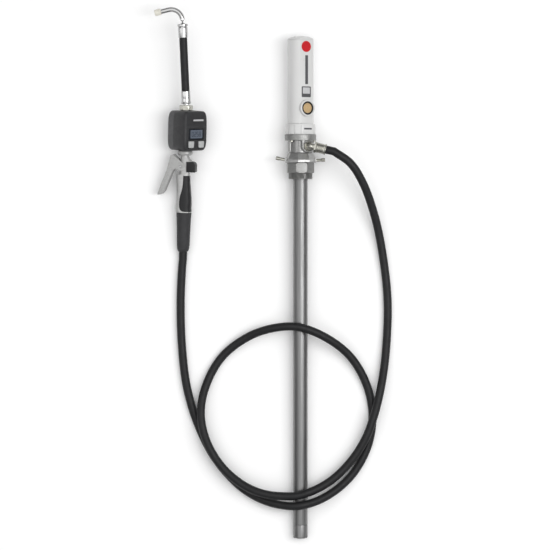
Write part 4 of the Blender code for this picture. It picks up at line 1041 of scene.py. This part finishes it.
def make_collar():
    bore = 0.0104
    low = COLLAR_HEIGHT
    top = low + 0.0112
    outline = [(bore, low), (0.0158, low, 0.0006), (0.0176, low + 0.0025, 0.0010)]
    for ring in range(3):
        at = low + 0.0034 + 0.0017 * ring
        outline += [
            (0.0182, at, 0.0002), (0.0182, at + 0.0009, 0.0002), (0.0178, at + 0.0011), (0.0178, at + 0.0015),
        ]
    outline += [(0.0178, low + 0.0090, 0.0010), (0.0160, top, 0.0008), (bore, top)]
    collar = turned("collar", outline, GUN, "handle_casting")
    placed(collar, "outlet_collar", "cast_aluminium", "outlet_collar")


# Meter

HALF_WIDTH = 0.0368
HALF_LENGTH = 0.0478
PORT_END = 0.0491       # the ports stand out past both ends of the case
FRONT = -0.0395
BACK = 0.0275
SPLIT = 0.0041          # where the cover meets the body
GROOVE = 0.0110         # height of the line across the cover
WINDOW_MIDDLE = (0, -0.0075)
SCREEN_MIDDLE = (0.0005, -0.0072)
KEY_MIDDLE = (0.0160, -0.0326)
GLASS_TOP = 0.0392
SCREEN_TOP = 0.0393
SHOWN = "0258"
FACE = within(METER, turn=(math.pi / 2, 0, 0))      # looks at the case's front, with Z towards the eye


def meter_case(name, look, inset=0.0):
    """The whole case, swelling from small rounded ends."""
    middle = (FRONT + BACK) / 2
    outline = rounded(oblong(2 * HALF_WIDTH, BACK - FRONT, 0.0066, (0, middle)), True, 10)
    levels = [math.sin(math.pi / 2 * step / 24) for step in range(-24, 25)]
    rings = []
    for level in levels:
        swell = (1 - abs(level) ** 5) ** 0.42
        width = 0.675 + 0.320 * swell       # share of the full width
        depth = 0.795 + 0.200 * swell       # share of the full depth
        height = level * (HALF_LENGTH - 0.0001)
        rings.append([(x * width, middle + (y - middle) * depth, height) for x, y in outline])
    return loft(name, rings, METER, look)


def meter_half(name, front, back):
    """The room between two depths, wider and longer than the case."""
    reach = 0.060
    return brick(name, (-reach, front, -reach), (reach, back, reach), METER)


def make_meter_cover():
    cover = keep(meter_case("meter_front", "case_plastic"), meter_half("cover_half", -0.060, SPLIT - GAP))
    cut(cover, slab("window_room", oblong(0.0500, 0.0276, 0.0030, WINDOW_MIDDLE), 0.0340, 0.0420, FACE))
    for side in (-1, 1):
        room = oblong(0.0190, 0.0188, 0.0022, (side * KEY_MIDDLE[0], KEY_MIDDLE[1]))
        cut(cover, slab(f"key_room_{side + 1}", room, 0.0340, 0.0440, FACE))
    cut(cover, brick("cover_groove", (-0.0400, FRONT - 0.001, GROOVE - 0.0006),
                     (0.0400, FRONT + 0.0009, GROOVE + 0.0006), METER))
    for side in (-1, 1):
        low, high = sorted((side * 0.0400, side * 0.0520))
        cut(cover, rod(f"port_room_{side + 1}", 0.0140, low, high, METER))
    soften(cover, 0.0006, 2, 40)
    placed(cover, "gun", "case_plastic", "meter_cover")


def make_meter_body():
    body = keep(meter_case("meter_back", "case_metal"), meter_half("body_half", SPLIT, 0.060))
    soften(body, 0.0006, 2, 40)
    for side in (-1, 1):
        low, high = sorted((side * 0.0300, side * PORT_END))
        join(body, turned(f"port_{side + 1}", [
            (0, low), (0.0135, low), (0.0135, high, 0.0008), (0, high),
        ], METER))
    placed(body, "gun", "case_metal", "meter_body")


def make_display():
    """The dark window, the lit area in it and its figures."""
    pane = oblong(0.0492, 0.0272, 0.0028, WINDOW_MIDDLE)
    glass = slab("meter_window", pane, 0.0372, GLASS_TOP, FACE, "window")
    soften(glass, 0.0003, 2, 40)
    placed(glass, "gun", "window", "display_window")
    area = oblong(0.0380, 0.0200, 0.0012, SCREEN_MIDDLE)
    screen = slab("meter_screen", area, GLASS_TOP, SCREEN_TOP, FACE, "display")
    placed(screen, "gun", "display", "display_panel")
    for index, shown in enumerate(SHOWN):
        make_digit(index, shown)


def make_meter_bar():
    """The plain bar that stands for the lettering above the display."""
    outline = oblong(0.0320, 0.0040, 0.0008, (0.0060, 0.0263))
    bar = slab("meter_bar", outline, 0.0388, 0.0396, FACE, "label_light")
    placed(bar, "gun", None)


def make_keys():
    """Two keys that widen towards the display."""
    y = KEY_MIDDLE[1]
    for side, name in ((-1, "reset_key"), (1, "total_key")):
        rings = []
        x = side * KEY_MIDDLE[0]
        for size, depth in ((0.0146, 0.0370), (0.0150, 0.0402), (0.0142, 0.0412)):
            corners = [
                (x - size / 2, y - size / 2, 0.002),
                (x + size / 2, y - size / 2, 0.002),
                (x + size / 2 + 0.0012, y + size / 2 + 0.0010, 0.002),
                (x - size / 2 - 0.0012, y + size / 2 + 0.0010, 0.002),
            ]
            rings.append([(x, y, depth) for x, y in rounded(corners, True)])
        key = loft(f"{name}_top", rings, FACE, "key_plastic")
        soften(key, 0.0003, 2, 40)
        placed(key, name, "key_plastic", name)


SEGMENTS = {"0": "abcdef", "2": "abged", "5": "afgcd", "8": "abcdefg"}


def make_digit(index, shown):
    """One figure of the display, from bars."""
    wide, tall, bar = 0.0052, 0.0104, 0.0011
    trim = 0.92
    x = -0.0115 + 0.0077 * index
    y = SCREEN_MIDDLE[1]
    places = {
        "a": (0, tall / 2, wide, bar), "g": (0, 0, wide, bar), "d": (0, -tall / 2, wide, bar),
        "f": (-wide / 2, tall / 4, bar, tall / 2), "b": (wide / 2, tall / 4, bar, tall / 2),
        "e": (-wide / 2, -tall / 4, bar, tall / 2), "c": (wide / 2, -tall / 4, bar, tall / 2),
    }
    for letter in SEGMENTS[shown]:
        right, up, width, height = places[letter]
        outline = oblong(width * trim, height * trim, 0.0002, (x + right, y + up))
        bar_piece = slab(f"digit_{index}_{letter}", outline, SCREEN_TOP, 0.03935, FACE, "digits")
        placed(bar_piece, "gun", None)


# Spout

def make_spout_nut():
    port_top = METER_HEIGHT + PORT_END
    low = port_top + GAP
    top = 0.3560
    hexagon = nut("spout_hex", [
        (0.0072, low), (0.0150, low, 0.0003), (0.0162, port_top + 0.0014, 0.0004),
        (0.0162, top - 0.0012, 0.0004), (0.0150, top, 0.0003), (0.0072, top),
    ], 0.0162, GUN, "zinc_plate")
    placed(hexagon, "spout_nut", "zinc_plate", "spout_nut")


def make_spout_hose():
    """The short hose of the spout, between its two ferrules."""
    low = 0.0337
    high = 0.1630
    lower = turned("spout_ferrule_low", [
        (0.0045, 0.0010), (0.0078, 0.0010), (0.0078, 0.0025), (0.0122, 0.0035, 0.0010),
        (0.0124, 0.0065, 0.0010), (0.0113, 0.0080, 0.0008), (0.0113, 0.0160, 0.0004),
        (0.0108, 0.0166, 0.0003), (0.0108, 0.0176, 0.0003), (0.0113, 0.0182, 0.0004),
        (0.0113, low, 0.0010), (0.0045, low),
    ], SPOUT, "chrome")
    placed(lower, "gun", "chrome", "lower_ferrule")
    tube = turned("spout_tube", [
        (0.0050, low + GAP), (0.0096, low + GAP), (0.0096, high - GAP), (0.0050, high - GAP),
    ], SPOUT, "hose_rubber")
    placed(tube, "gun", "hose_rubber", "spout_hose")
    upper = turned("spout_ferrule_high", [
        (0.0045, high), (0.0114, high, 0.0008), (0.0116, 0.1861, 0.0010), (0.0108, 0.1901, 0.0008),
        (0.0126, 0.1909, 0.0006), (0.0126, 0.1956, 0.0008), (0.0090, 0.1966, 0.0008), (0.0045, 0.1966),
    ], SPOUT, "chrome")
    placed(upper, "gun", "chrome", "upper_ferrule")


def make_spout_pipe():
    """The rigid pipe: a short rise, a bend to the left and a straight end."""
    start = 0.1969
    rise = 0.0081
    bend_radius = 0.0270
    bend = math.radians(101)
    straight = 0.0185
    steps = 32
    path = [((0, 0, start), (0, 0, 1))]
    for step in range(steps + 1):
        angle = bend * step / steps
        point = (-bend_radius * (1 - math.cos(angle)), 0, start + rise + bend_radius * math.sin(angle))
        path.append((point, (-math.sin(angle), 0, math.cos(angle))))
    end, direction = path[-1]
    path.append((tuple(Vector(end) + straight * Vector(direction)), direction))
    placed(swept("spout", path, 0.0060, 0.0042, SPOUT, "chrome"), "gun", "chrome", "spout_pipe")


def make_nozzle_tip():
    tip = turned("tip", [
        (0.0030, 0.0003), (0.0068, 0.0003, 0.0004), (0.0082, 0.0020, 0.0006), (0.0082, 0.0060, 0.0005),
        (0.0076, 0.0070, 0.0003), (0.0080, 0.0085, 0.0004), (0.0078, 0.0140, 0.0008),
        (0.0062, 0.0162, 0.0008), (0.0030, 0.0162, 0.0004),
    ], TIP, "white_plastic", SMALL)
    placed(tip, "nozzle_tip", "white_plastic", "nozzle_tip")


def dress_cad_nodes():
    """Gives every CAD node that is shown its finish."""
    slots = {part["node"]: part["material_slot"] for part in frame["record"]["subparts"]}
    for node, shape in frame["nodes"].items():
        for slot in shape.material_slots:
            slot.material = LOOKS[slots[node]]


make_studio()
make_hose()
make_foot()
make_tube()
make_adapter()
make_wing_nut()
make_outlet()
make_outlet_fittings()
make_motor_base()
make_cylinder()
make_top_cap()
make_motor_labels()
make_handle()
make_grip_insert()
make_lever()
make_valve_cap()
make_boot()
make_collar()
make_meter_cover()
make_meter_body()
make_display()
make_keys()
make_meter_bar()
make_spout_nut()
make_spout_hose()
make_spout_pipe()
make_nozzle_tip()
dress_cad_nodes()
